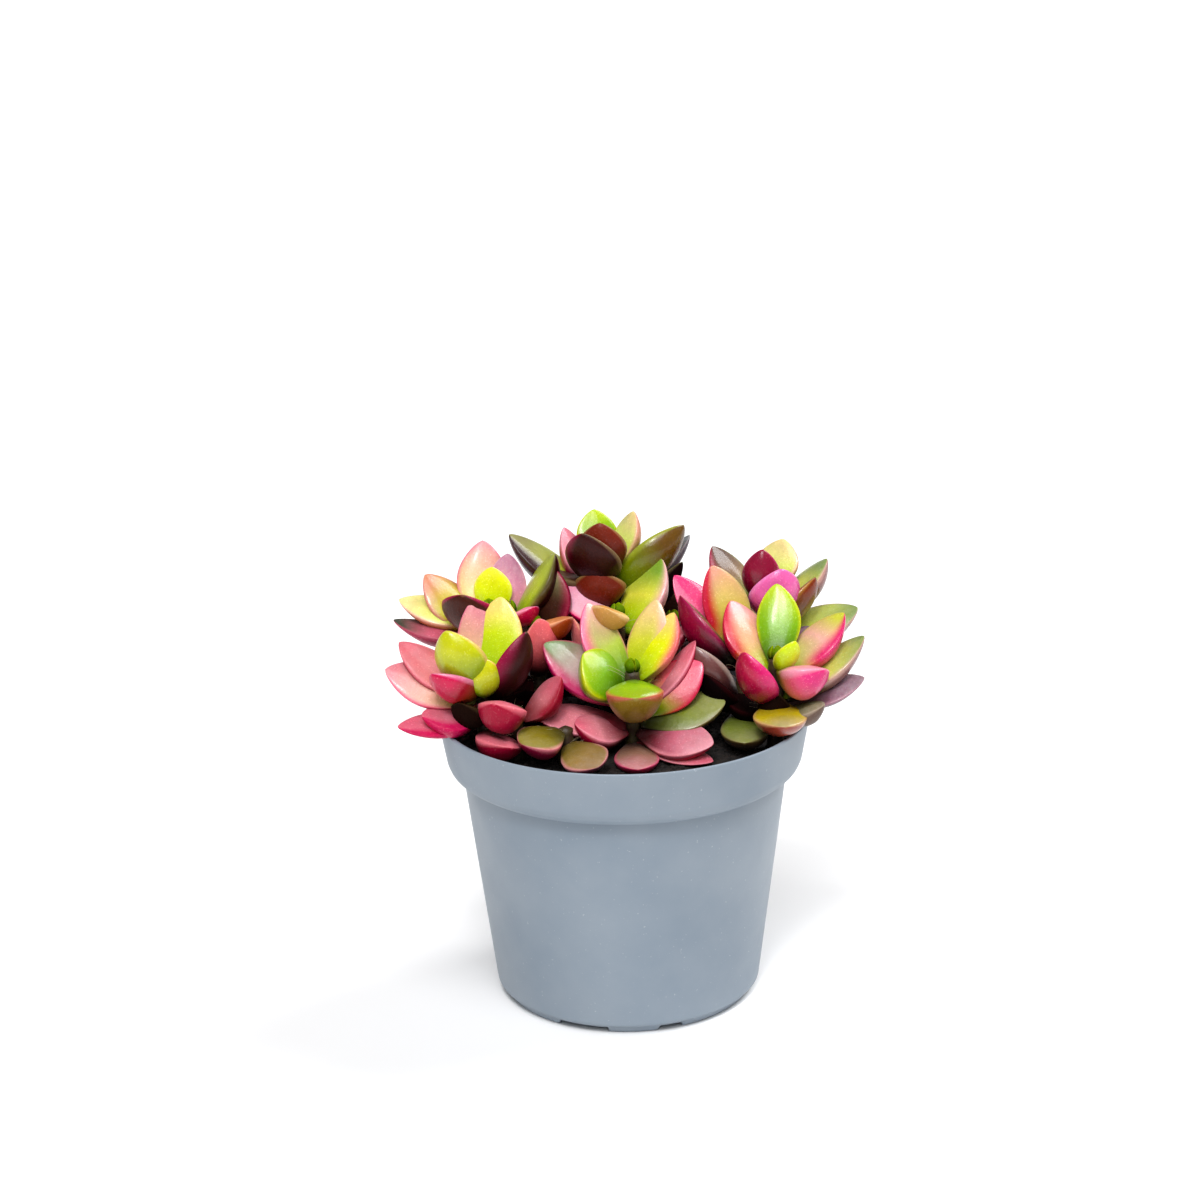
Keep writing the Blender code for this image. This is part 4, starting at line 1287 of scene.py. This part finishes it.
@dataclass(frozen=True)
class Shoot:
    """A stem with its leaves and the dry hairs in their axils."""

    plan: ShootPlan
    ground: float
    number: int
    shape: LeafShape = LeafShape()
    bud: Bud = Bud()
    tuft: Tuft = Tuft()
    stem_radius: float = 1.9
    stem_sides: int = 20
    stem_taper: float = 0.12
    steps_per_mm: float = 1.6
    fewest_steps: int = 10
    ring_radians_per_mm: float = 0.9
    ring_radius: float = 0.93
    ring_swell: float = 0.1
    sunk: float = 1.5

    def stem_point(self, share: float) -> Array:
        """Point of the stem's axis at a share of its height above the soil, in millimetres."""
        foot = np.array([*self.plan.foot, self.ground])
        return foot + (np.array(self.plan.crown, float) - foot) * share

    def build_stem(self) -> bpy.types.Object:
        """Build the stem, thicker at each ring where leaves have grown.

        Returns:
            The stem.
        """
        dice = np.random.default_rng(STEM_SEED + self.number)
        length = self.plan.crown[2] - self.ground
        steps = max(self.fewest_steps, int(length * self.steps_per_mm))
        shares = np.linspace(-self.sunk / length, 1, steps)
        points = np.array([self.stem_point(share) for share in shares])
        rings = np.abs(np.sin(shares * length * self.ring_radians_per_mm + dice.uniform(0, 3)))
        slim = self.stem_radius * (1 - self.stem_taper * np.clip(shares, 0, 1))
        radii = slim * (self.ring_radius + self.ring_swell * rings)
        return add_object(f"{self.plan.name}_stem_skin", *tube(points, radii, self.stem_sides))

    def grow_hair(self, dice: Dice) -> tuple[Array, Faces]:
        """Grow one hair.

        Args:
            dice: The shoot's random numbers for hairs.

        Returns:
            Its vertices and faces.
        """
        tuft = self.tuft
        turn = dice.uniform(0, 2 * math.pi)
        outward = np.array([math.cos(turn), math.sin(turn), 0.0])
        start = self.stem_point(dice.uniform(*tuft.seats)) + outward * self.stem_radius * tuft.root
        reach = dice.uniform(*tuft.reaches)
        sway = dice.uniform(-1, 1, 3) * tuft.sway
        lift = dice.uniform(*tuft.lifts)
        steps = np.linspace(0, 1, tuft.steps)
        path = []
        for step in steps:
            rise = np.array([0, 0, lift * reach * step * (1 - tuft.droop * step)])
            path.append(start + outward * reach * step + rise + sway * step * step)
        return tube(np.array(path), tuft.radius * (1 - tuft.taper * steps), tuft.sides)

    def build_hairs(self) -> bpy.types.Object:
        """Build the axil hairs.

        Returns:
            One object that holds all of the shoot's hairs.
        """
        dice = np.random.default_rng(HAIR_SEED + self.number)
        verts, faces, count = [], [], 0
        for _ in range(self.tuft.hairs):
            part, part_faces = self.grow_hair(dice)
            verts.append(part)
            faces.extend(tuple(index + count for index in face) for face in part_faces)
            count += len(part)
        return add_object(f"{self.plan.name}_hairs", np.vstack(verts), faces)

    def young_leaves(self) -> list[Leaf]:
        """Plan the small leaves that close over the stem's tip.

        Returns:
            The leaves, or none for a shoot with few inner leaves.
        """
        if len(self.plan.inner) < self.bud.fewest_inner:
            return []
        start = self.bud.turn_per_shoot * self.number
        pitch = 360 / self.bud.leaves
        return [replace(self.bud.leaf, turn=start + pitch * step) for step in range(self.bud.leaves)]

    def add_leaf(self, name: str, leaf: Leaf, node: str, finishes: ShootFinishes, seed: int) -> None:
        """Build one leaf and hand it over.

        Args:
            name: The piece's name.
            leaf: The leaf's plan.
            node: CAD node that it stands for.
            finishes: The shoots' materials.
            seed: Its number within the shoot, which makes its unevenness its own.
        """
        shape = self.bud.shape if leaf.skin is Skin.BUD else self.shape
        piece = shape.grow(name, leaf, self.stem_point(leaf.seat), SEEDS_PER_SHOOT * self.number + seed)
        hand_over(piece, [node], finishes.leaves[leaf.skin.value.sheen])

    def build(self, finishes: ShootFinishes) -> None:
        """Build the stem, hairs and leaves, and hand each over.

        Args:
            finishes: The shoots' materials.
        """
        name = self.plan.name
        node = f"{name}_stem"
        hand_over(self.build_stem(), [node], finishes.stem)
        hand_over(self.build_hairs(), [], finishes.hair)
        for index, leaf in enumerate(self.plan.inner, start=1):
            self.add_leaf(f"{name}_inner_{index}", leaf, node, finishes, index)
        for index, leaf in enumerate(self.young_leaves(), start=1):
            self.add_leaf(f"{name}_bud_{index}", leaf, node, finishes, BUD_SEED + index)
        for index, leaf in enumerate(self.plan.outer, start=1):
            cad = f"{name}_leaf_{index}"
            self.add_leaf(f"{cad}_skin", leaf, cad, finishes, OUTER_SEED + index)


# ---------------------------------------------------------------- pot and soil

FULL_TURN = 6.283


@dataclass(frozen=True)
class Pot:
    """Round grower's pot: tapered wall, wide collar, and a foot ring cut by drain notches.

    Sizes are radii or heights above the floor unless their name says otherwise. A notch is the turn
    of its middle and its angle, and comes again at each pitch.
    """

    height: float
    rim: float
    segments: int = 288
    collar_foot: Point = (56.8, 40.7)
    collar_wall: float = 1.3
    crease: float = 54.2
    shelf: Point = (1.3, 2.8)
    shelf_rise: float = 1.2
    step_rise: float = 0.6
    lip_width: float = 1.0
    lip_round: float = 0.3
    wall_at_floor: float = 30.36
    taper: float = 0.128
    thickness: float = 1.2
    foot: float = 29.1
    foot_bulge: Point = (0.6, 0.5)
    foot_round: float = 0.3
    ring_width: float = 1.4
    ring_root: float = 1.6
    foot_line: float = 2.3
    underside: float = 1.8
    notch_height: float = 1.3
    notch_pitch: float = 120
    notches: tuple[Point, ...] = ((-111.3, 24.3), (-71.0, 12.0))
    drain_circle: float = 20.0
    drain_radius: float = 2.5
    drains: int = 6
    drain_turn: float = 0.3
    cutter_span: Point = (0.5, 5.0)
    corner_reach: float = 0.35
    corner_limit: float = 0.4
    corner_shares: tuple[float, ...] = (0, 0.33, 0.67, 1)
    longest_span: float = 2.5
    span_margin: float = 0.3

    def wall(self, height: float) -> float:
        """Outer radius of the wall at a height."""
        return self.wall_at_floor + self.taper * height

    def profile(self) -> list[Point]:
        """Corner points of the section.

        Returns:
            Radii and heights, from the underside's middle out, up and back down inside.
        """
        edge = self.wall(self.crease)
        floor = self.underside + self.thickness
        collar_height, collar = self.collar_foot
        shelf_start, shelf_end = self.shelf
        bulge, bulge_drop = self.foot_bulge
        return [
            (0, self.underside),
            (self.foot - self.ring_root, self.underside),
            (self.foot - self.ring_width, 0),
            (self.foot - self.foot_round, 0),
            (self.foot + bulge, self.foot_line - bulge_drop),
            (self.wall(self.foot_line), self.foot_line),
            (edge, self.crease),
            (edge + shelf_start, self.crease),
            (edge + shelf_end, self.crease + self.shelf_rise),
            (collar, collar_height),
            (self.rim, self.height - self.lip_round),
            (self.rim - self.lip_round, self.height),
            (self.rim - self.lip_width, self.height - self.lip_round),
            (collar - self.collar_wall, collar_height + self.step_rise),
            (edge - self.thickness, self.crease + self.step_rise),
            (self.wall(floor) - self.thickness, floor),
            (0, floor),
        ]

    def soften(self, corners: Sequence[Point]) -> list[Point]:
        """Round every corner of a section.

        Args:
            corners: The section's corner points.

        Returns:
            A finer section that keeps both end points.
        """
        points = [np.array(corner, float) for corner in corners]
        rounded = [tuple(points[0])]
        for before, corner, after in zip(points, points[1:], points[2:]):
            start = min(self.corner_reach, self.corner_limit * np.linalg.norm(before - corner))
            end = min(self.corner_reach, self.corner_limit * np.linalg.norm(after - corner))
            first = corner + (before - corner) / np.linalg.norm(before - corner) * start
            last = corner + (after - corner) / np.linalg.norm(after - corner) * end
            for share in self.corner_shares:
                rest = 1 - share
                rounded.append(tuple(rest**2 * first + 2 * share * rest * corner + share**2 * last))
        rounded.append(tuple(points[-1]))
        return rounded

    def densify(self, section: Sequence[Point]) -> Array:
        """Split a section's long spans, with an extra point close to each end of a span.

        Args:
            section: The section's points.

        Returns:
            The finer section.
        """
        points = [section[0]]
        for start, end in zip(section, section[1:]):
            start, end = np.array(start), np.array(end)
            length = np.linalg.norm(end - start)
            if length > self.longest_span:
                count = int(length / self.longest_span) + 1
                margin = self.span_margin / length
                shares = sorted({margin, 1 - margin, *(k / count for k in range(1, count))})
                points.extend(tuple(start + (end - start) * share) for share in shares)
            points.append(tuple(end))
        return np.array(points)

    def in_notch(self, turns: Array) -> Array:
        """Whether each turn lies in a drain notch.

        Args:
            turns: The turns, in degrees.

        Returns:
            True where a turn lies in a notch.
        """
        inside = np.zeros(len(turns), bool)
        half = self.notch_pitch / 2
        for middle, angle in self.notches:
            offset = (turns - middle + half) % self.notch_pitch - half
            inside |= np.abs(offset) < angle / 2
        return inside

    def build(self) -> bpy.types.Object:
        """Turn the section, lift the foot ring at its notches and pierce the drain holes.

        Returns:
            The pot as one closed piece.
        """
        section = self.densify(self.soften(self.profile()))
        turns = np.linspace(0, 360, self.segments, endpoint=False)
        grid = spin(section[1:-1], np.radians(turns))
        heights = grid[..., 2]
        heights[self.in_notch(turns)[None, :] & (heights < self.notch_height)] = self.notch_height
        pot = add_round("pot_body", grid, (section[0][1], section[-1][1]))
        self.pierce(pot)
        return pot

    def pierce(self, pot: bpy.types.Object) -> None:
        """Cut the drain holes through the pot's base.

        Args:
            pot: The pot, which is changed.
        """
        cutters = []
        for hole in range(self.drains):
            angle = 2 * math.pi * (hole + self.drain_turn) / self.drains
            spot = np.array([math.cos(angle), math.sin(angle), 0]) * self.drain_circle
            path = np.array([spot + [0, 0, height] for height in self.cutter_span])
            cutters.append(add_object(f"drain_cutter_{hole}", *tube(path, [self.drain_radius] * 2, 40)))
        for cutter in cutters:
            step = pot.modifiers.new("drain", "BOOLEAN")
            step.operation = "DIFFERENCE"
            step.solver = "EXACT"
            step.object = cutter
        bake_modifiers(pot)
        for cutter in cutters:
            bpy.data.objects.remove(cutter, do_unlink=True)
        pot.data.shade_smooth()


@dataclass(frozen=True)
class Soil:
    """A bed of dark soil with loose crumbs on top, kept just inside the pot.

    Drops are measured down from the soil's top. Bump waves are the least and the greatest number of
    radians per millimetre. A crumb lies only where the surface's normal rises by more than steepest.
    """

    pot: Pot
    low: float
    top: float
    gap: float = 0.35
    segments: int = 160
    rings: int = 46
    ring_shares: Point = (0.985, 0.03)
    rim_gap: float = 0.2
    rim_drop: float = 0.9
    collar_rise: float = 0.9
    surface_drop: float = 0.6
    bump_count: int = 9
    bump_height: float = 0.09
    bump_waves: Point = (0.2, 1.6)
    bed_seed: int = 7
    crumb_radius: float = 0.62
    crumbs_per_square_metre: float = 520000.0
    crumb_lumps: float = 1400.0
    crumb_dent: float = 0.0009
    crumb_sizes: Point = (0.35, 1.25)
    steepest: float = 0.5
    crumb_seed: int = 11
    turn_seed: int = 3
    size_seed: int = 5

    def section(self) -> tuple[list[Point], list[Point]]:
        """Radii and heights of the bed's side and of its top.

        Returns:
            The side's points, going up, and the top's, going inwards.
        """
        pot = self.pot
        inset = pot.thickness + self.gap
        shoulder = pot.crease + pot.step_rise
        collar_height, collar = pot.collar_foot
        slope = (pot.rim - collar) / (pot.height - collar_height)
        edge = collar - pot.collar_wall - self.gap
        level = self.top - self.surface_drop
        rim = edge + slope * (level - collar_height - pot.step_rise) - self.rim_gap
        side = [
            (pot.wall(self.low) - inset, self.low),
            (pot.wall(shoulder) - inset, shoulder),
            (edge - self.rim_gap, collar_height + self.collar_rise),
            (rim, self.top - self.rim_drop),
        ]
        return side, [(rim * share, level) for share in np.linspace(*self.ring_shares, self.rings)]

    def build_bed(self) -> bpy.types.Object:
        """Build the bed, uneven on top.

        Returns:
            The bed as one closed piece.
        """
        dice = np.random.default_rng(self.bed_seed)
        side, surface = self.section()
        turns = np.linspace(0, 2 * math.pi, self.segments, endpoint=False)
        grid = spin(np.array(side + surface), turns)
        x, y, height = np.moveaxis(grid, -1, 0)
        low, high = self.bump_waves
        bumps = sum(
            np.sin(x * dice.uniform(low, high) + y * dice.uniform(-high, high) + dice.uniform(0, 6))
            for _ in range(self.bump_count)
        )
        height[len(side):] += self.bump_height * bumps[len(side):]
        return add_round("soil_bed", grid, (self.low, height[-1].mean()))

    def crumb_tree(self, finish: bpy.types.Material) -> bpy.types.GeometryNodeTree:
        """Build the node tree that scatters crumbs over upward faces.

        Args:
            finish: The crumbs' material.

        Returns:
            The node tree, with inputs for density, radius and seed.
        """
        tree = bpy.data.node_groups.new("soil_crumbs", "GeometryNodeTree")
        sockets = tree.interface
        sockets.new_socket("Geometry", in_out="INPUT", socket_type="NodeSocketGeometry")
        for name, kind in (("Density", "Float"), ("Radius", "Float"), ("Seed", "Int")):
            sockets.new_socket(name, in_out="INPUT", socket_type=f"NodeSocket{kind}")
        sockets.new_socket("Geometry", in_out="OUTPUT", socket_type="NodeSocketGeometry")
        add = partial(add_node, tree)
        given = add("NodeGroupInput").outputs
        normal = add("ShaderNodeSeparateXYZ", {0: add("GeometryNodeInputNormal").outputs[0]}).outputs["Z"]
        upward = add("FunctionNodeCompare", {0: normal, 1: self.steepest}, operation="GREATER_THAN")
        strewing = {
            "Mesh": given["Geometry"],
            "Selection": upward.outputs[0],
            "Density": given["Density"],
            "Seed": given["Seed"],
        }
        points = add("GeometryNodeDistributePointsOnFaces", strewing)
        ball = add("GeometryNodeMeshIcoSphere", {"Radius": given["Radius"], "Subdivisions": 1})
        lumps = add("ShaderNodeTexNoise", {"Scale": self.crumb_lumps, "Detail": 1.0}).outputs["Color"]
        shift = add("ShaderNodeVectorMath", {0: lumps, 1: (-0.5, -0.5, -0.5)}, operation="ADD").outputs[0]
        dent = add("ShaderNodeVectorMath", {0: shift, 3: self.crumb_dent}, operation="SCALE").outputs[0]
        crumb = add("GeometryNodeSetPosition", {"Geometry": ball.outputs["Mesh"], "Offset": dent})
        turns = {1: (FULL_TURN,) * 3, "Seed": self.turn_seed}
        turn = add("FunctionNodeRandomValue", turns, data_type="FLOAT_VECTOR")
        least, most = self.crumb_sizes
        sizes = {"Min": least, "Max": most, "Seed": self.size_seed}
        size = add("FunctionNodeRandomValue", sizes, data_type="FLOAT")
        placing = {
            "Points": points.outputs["Points"],
            "Instance": crumb.outputs["Geometry"],
            "Rotation": turn.outputs[0],
            "Scale": size.outputs[1],
        }
        placed = add("GeometryNodeInstanceOnPoints", placing).outputs["Instances"]
        real = add("GeometryNodeRealizeInstances", {"Geometry": placed}).outputs["Geometry"]
        dressed = add("GeometryNodeSetMaterial", {"Geometry": real, "Material": finish}).outputs["Geometry"]
        add("NodeGroupOutput", {"Geometry": dressed})
        return tree

    def build_crumbs(self, bed: bpy.types.Object, finish: bpy.types.Material) -> bpy.types.Object:
        """Scatter crumbs over the bed.

        Args:
            bed: The soil bed.
            finish: The crumbs' material.

        Returns:
            One object that holds all the crumbs.
        """
        crumbs = bpy.data.objects.new("soil_crumbs", bed.data.copy())
        bpy.context.collection.objects.link(crumbs)
        scatter = crumbs.modifiers.new("scatter", "NODES")
        scatter.node_group = self.crumb_tree(finish)
        values = {
            "Density": self.crumbs_per_square_metre,
            "Radius": self.crumb_radius * MM,
            "Seed": self.crumb_seed,
        }
        for item in scatter.node_group.interface.items_tree:
            if item.item_type == "SOCKET" and item.in_out == "INPUT" and item.name in values:
                scatter[item.identifier] = values[item.name]
        bpy.context.view_layer.update()
        bake_modifiers(crumbs)
        crumbs.data.shade_flat()
        return crumbs


# ---------------------------------------------------------------- studio


@dataclass(frozen=True)
class Lamp:
    """A distant lamp: its strength, apparent size and direction, the angles in degrees."""

    name: str
    strength: float
    softness: float
    rotation: tuple[float, float, float]


@dataclass(frozen=True)
class Studio:
    """Pale floor, three distant lamps, even fill and the camera, in metres and degrees."""

    floor_size: float = 14.0
    floor_depth: float = 0.02
    lamps: tuple[Lamp, ...] = (
        Lamp("side_light", strength=1.9, softness=30.0, rotation=(0.0, 42.0, 25.0)),
        Lamp("front_light", strength=2.2, softness=46.0, rotation=(34.0, 0.0, -2.0)),
        Lamp("sparkle_light", strength=1.0, softness=11.0, rotation=(36.0, 0.0, -10.0)),
    )
    fill_strength: float = 0.24
    camera_place: tuple[float, float, float] = (0.0, -0.5562, 0.265)
    camera_rotation: tuple[float, float, float] = (72.831, 1.133, 0.156)
    lens: float = 77.44
    sensor: float = 36.0
    clip_start: float = 0.02

    def build_floor(self) -> None:
        """Lay the floor, a shallow closed slab under the pot."""
        half = self.floor_size / MM / 2
        bottom = -self.floor_depth / MM
        square = ((-half, -half), (half, -half), (half, half), (-half, half))
        corners = [(x, y, z) for z in (bottom, 0.0) for x, y in square]
        faces = [(3, 2, 1, 0), (4, 5, 6, 7), (0, 1, 5, 4), (1, 2, 6, 5), (2, 3, 7, 6), (3, 0, 4, 7)]
        floor = add_object("floor", np.array(corners), faces)
        floor.data.shade_flat()
        floor.data.materials.append(FloorFinish().material())

    def build_lights(self) -> None:
        """Place the lamps and set the even fill from all round."""
        for lamp in self.lamps:
            light = bpy.data.objects.new(lamp.name, bpy.data.lights.new(lamp.name, "SUN"))
            light.data.energy = lamp.strength
            light.data.angle = math.radians(lamp.softness)
            light.rotation_euler = Euler([math.radians(angle) for angle in lamp.rotation])
            bpy.context.collection.objects.link(light)
        world = bpy.data.worlds.new("studio")
        world.use_nodes = True
        background = world.node_tree.nodes["Background"].inputs
        background["Color"].default_value = (1, 1, 1, 1)
        background["Strength"].default_value = self.fill_strength
        bpy.context.scene.world = world

    def build_camera(self) -> None:
        """Place the camera."""
        camera = bpy.data.objects.new("camera", bpy.data.cameras.new("camera"))
        camera.location = self.camera_place
        camera.rotation_euler = Euler([math.radians(angle) for angle in self.camera_rotation])
        camera.data.lens = self.lens
        camera.data.sensor_width = self.sensor
        camera.data.clip_start = self.clip_start
        bpy.context.collection.objects.link(camera)
        bpy.context.scene.camera = camera

    def build(self) -> None:
        """Set up the whole studio."""
        self.build_floor()
        self.build_lights()
        self.build_camera()
        bpy.context.scene.view_settings.view_transform = "Standard"


def main() -> None:
    """Build every piece in order; each piece logs its face count as it is handed over."""
    logging.basicConfig(level=logging.INFO, format="%(name)s: %(message)s")
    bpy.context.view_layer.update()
    leaf_finishes = {
        Sheen.GLOSSY: LeafFinish("glossy_leaf_skin", roughness=0.32, specular=0.24, coat=0.5),
        Sheen.SATIN: LeafFinish("satin_leaf_skin", roughness=0.42, specular=0.2, coat=0.1),
        Sheen.DULL: LeafFinish("dull_leaf_skin", roughness=0.75, specular=0.04, coat=0.0),
    }
    finishes = ShootFinishes(
        stem=StemFinish().material(),
        hair=HairFinish().material(),
        leaves={sheen: finish.material() for sheen, finish in leaf_finishes.items()},
    )
    pot_low, pot_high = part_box("pot")
    soil_low, soil_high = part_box("soil")
    pot = Pot(height=pot_high.z / MM, rim=(pot_high.x - pot_low.x) / 2 / MM)
    hand_over(pot.build(), ["pot"], PotFinish().material())
    soil = Soil(pot, low=soil_low.z / MM, top=soil_high.z / MM)
    dark_soil = SoilFinish().material()
    bed = soil.build_bed()
    crumbs = soil.build_crumbs(bed, dark_soil)
    hand_over(bed, ["soil"], dark_soil)
    hand_over(crumbs, ["soil"], dark_soil)
    for number, plan in enumerate(SHOOTS, start=1):
        Shoot(plan, ground=soil_high.z / MM, number=number).build(finishes)
    Studio().build()


if __name__ == "__main__":
    main()
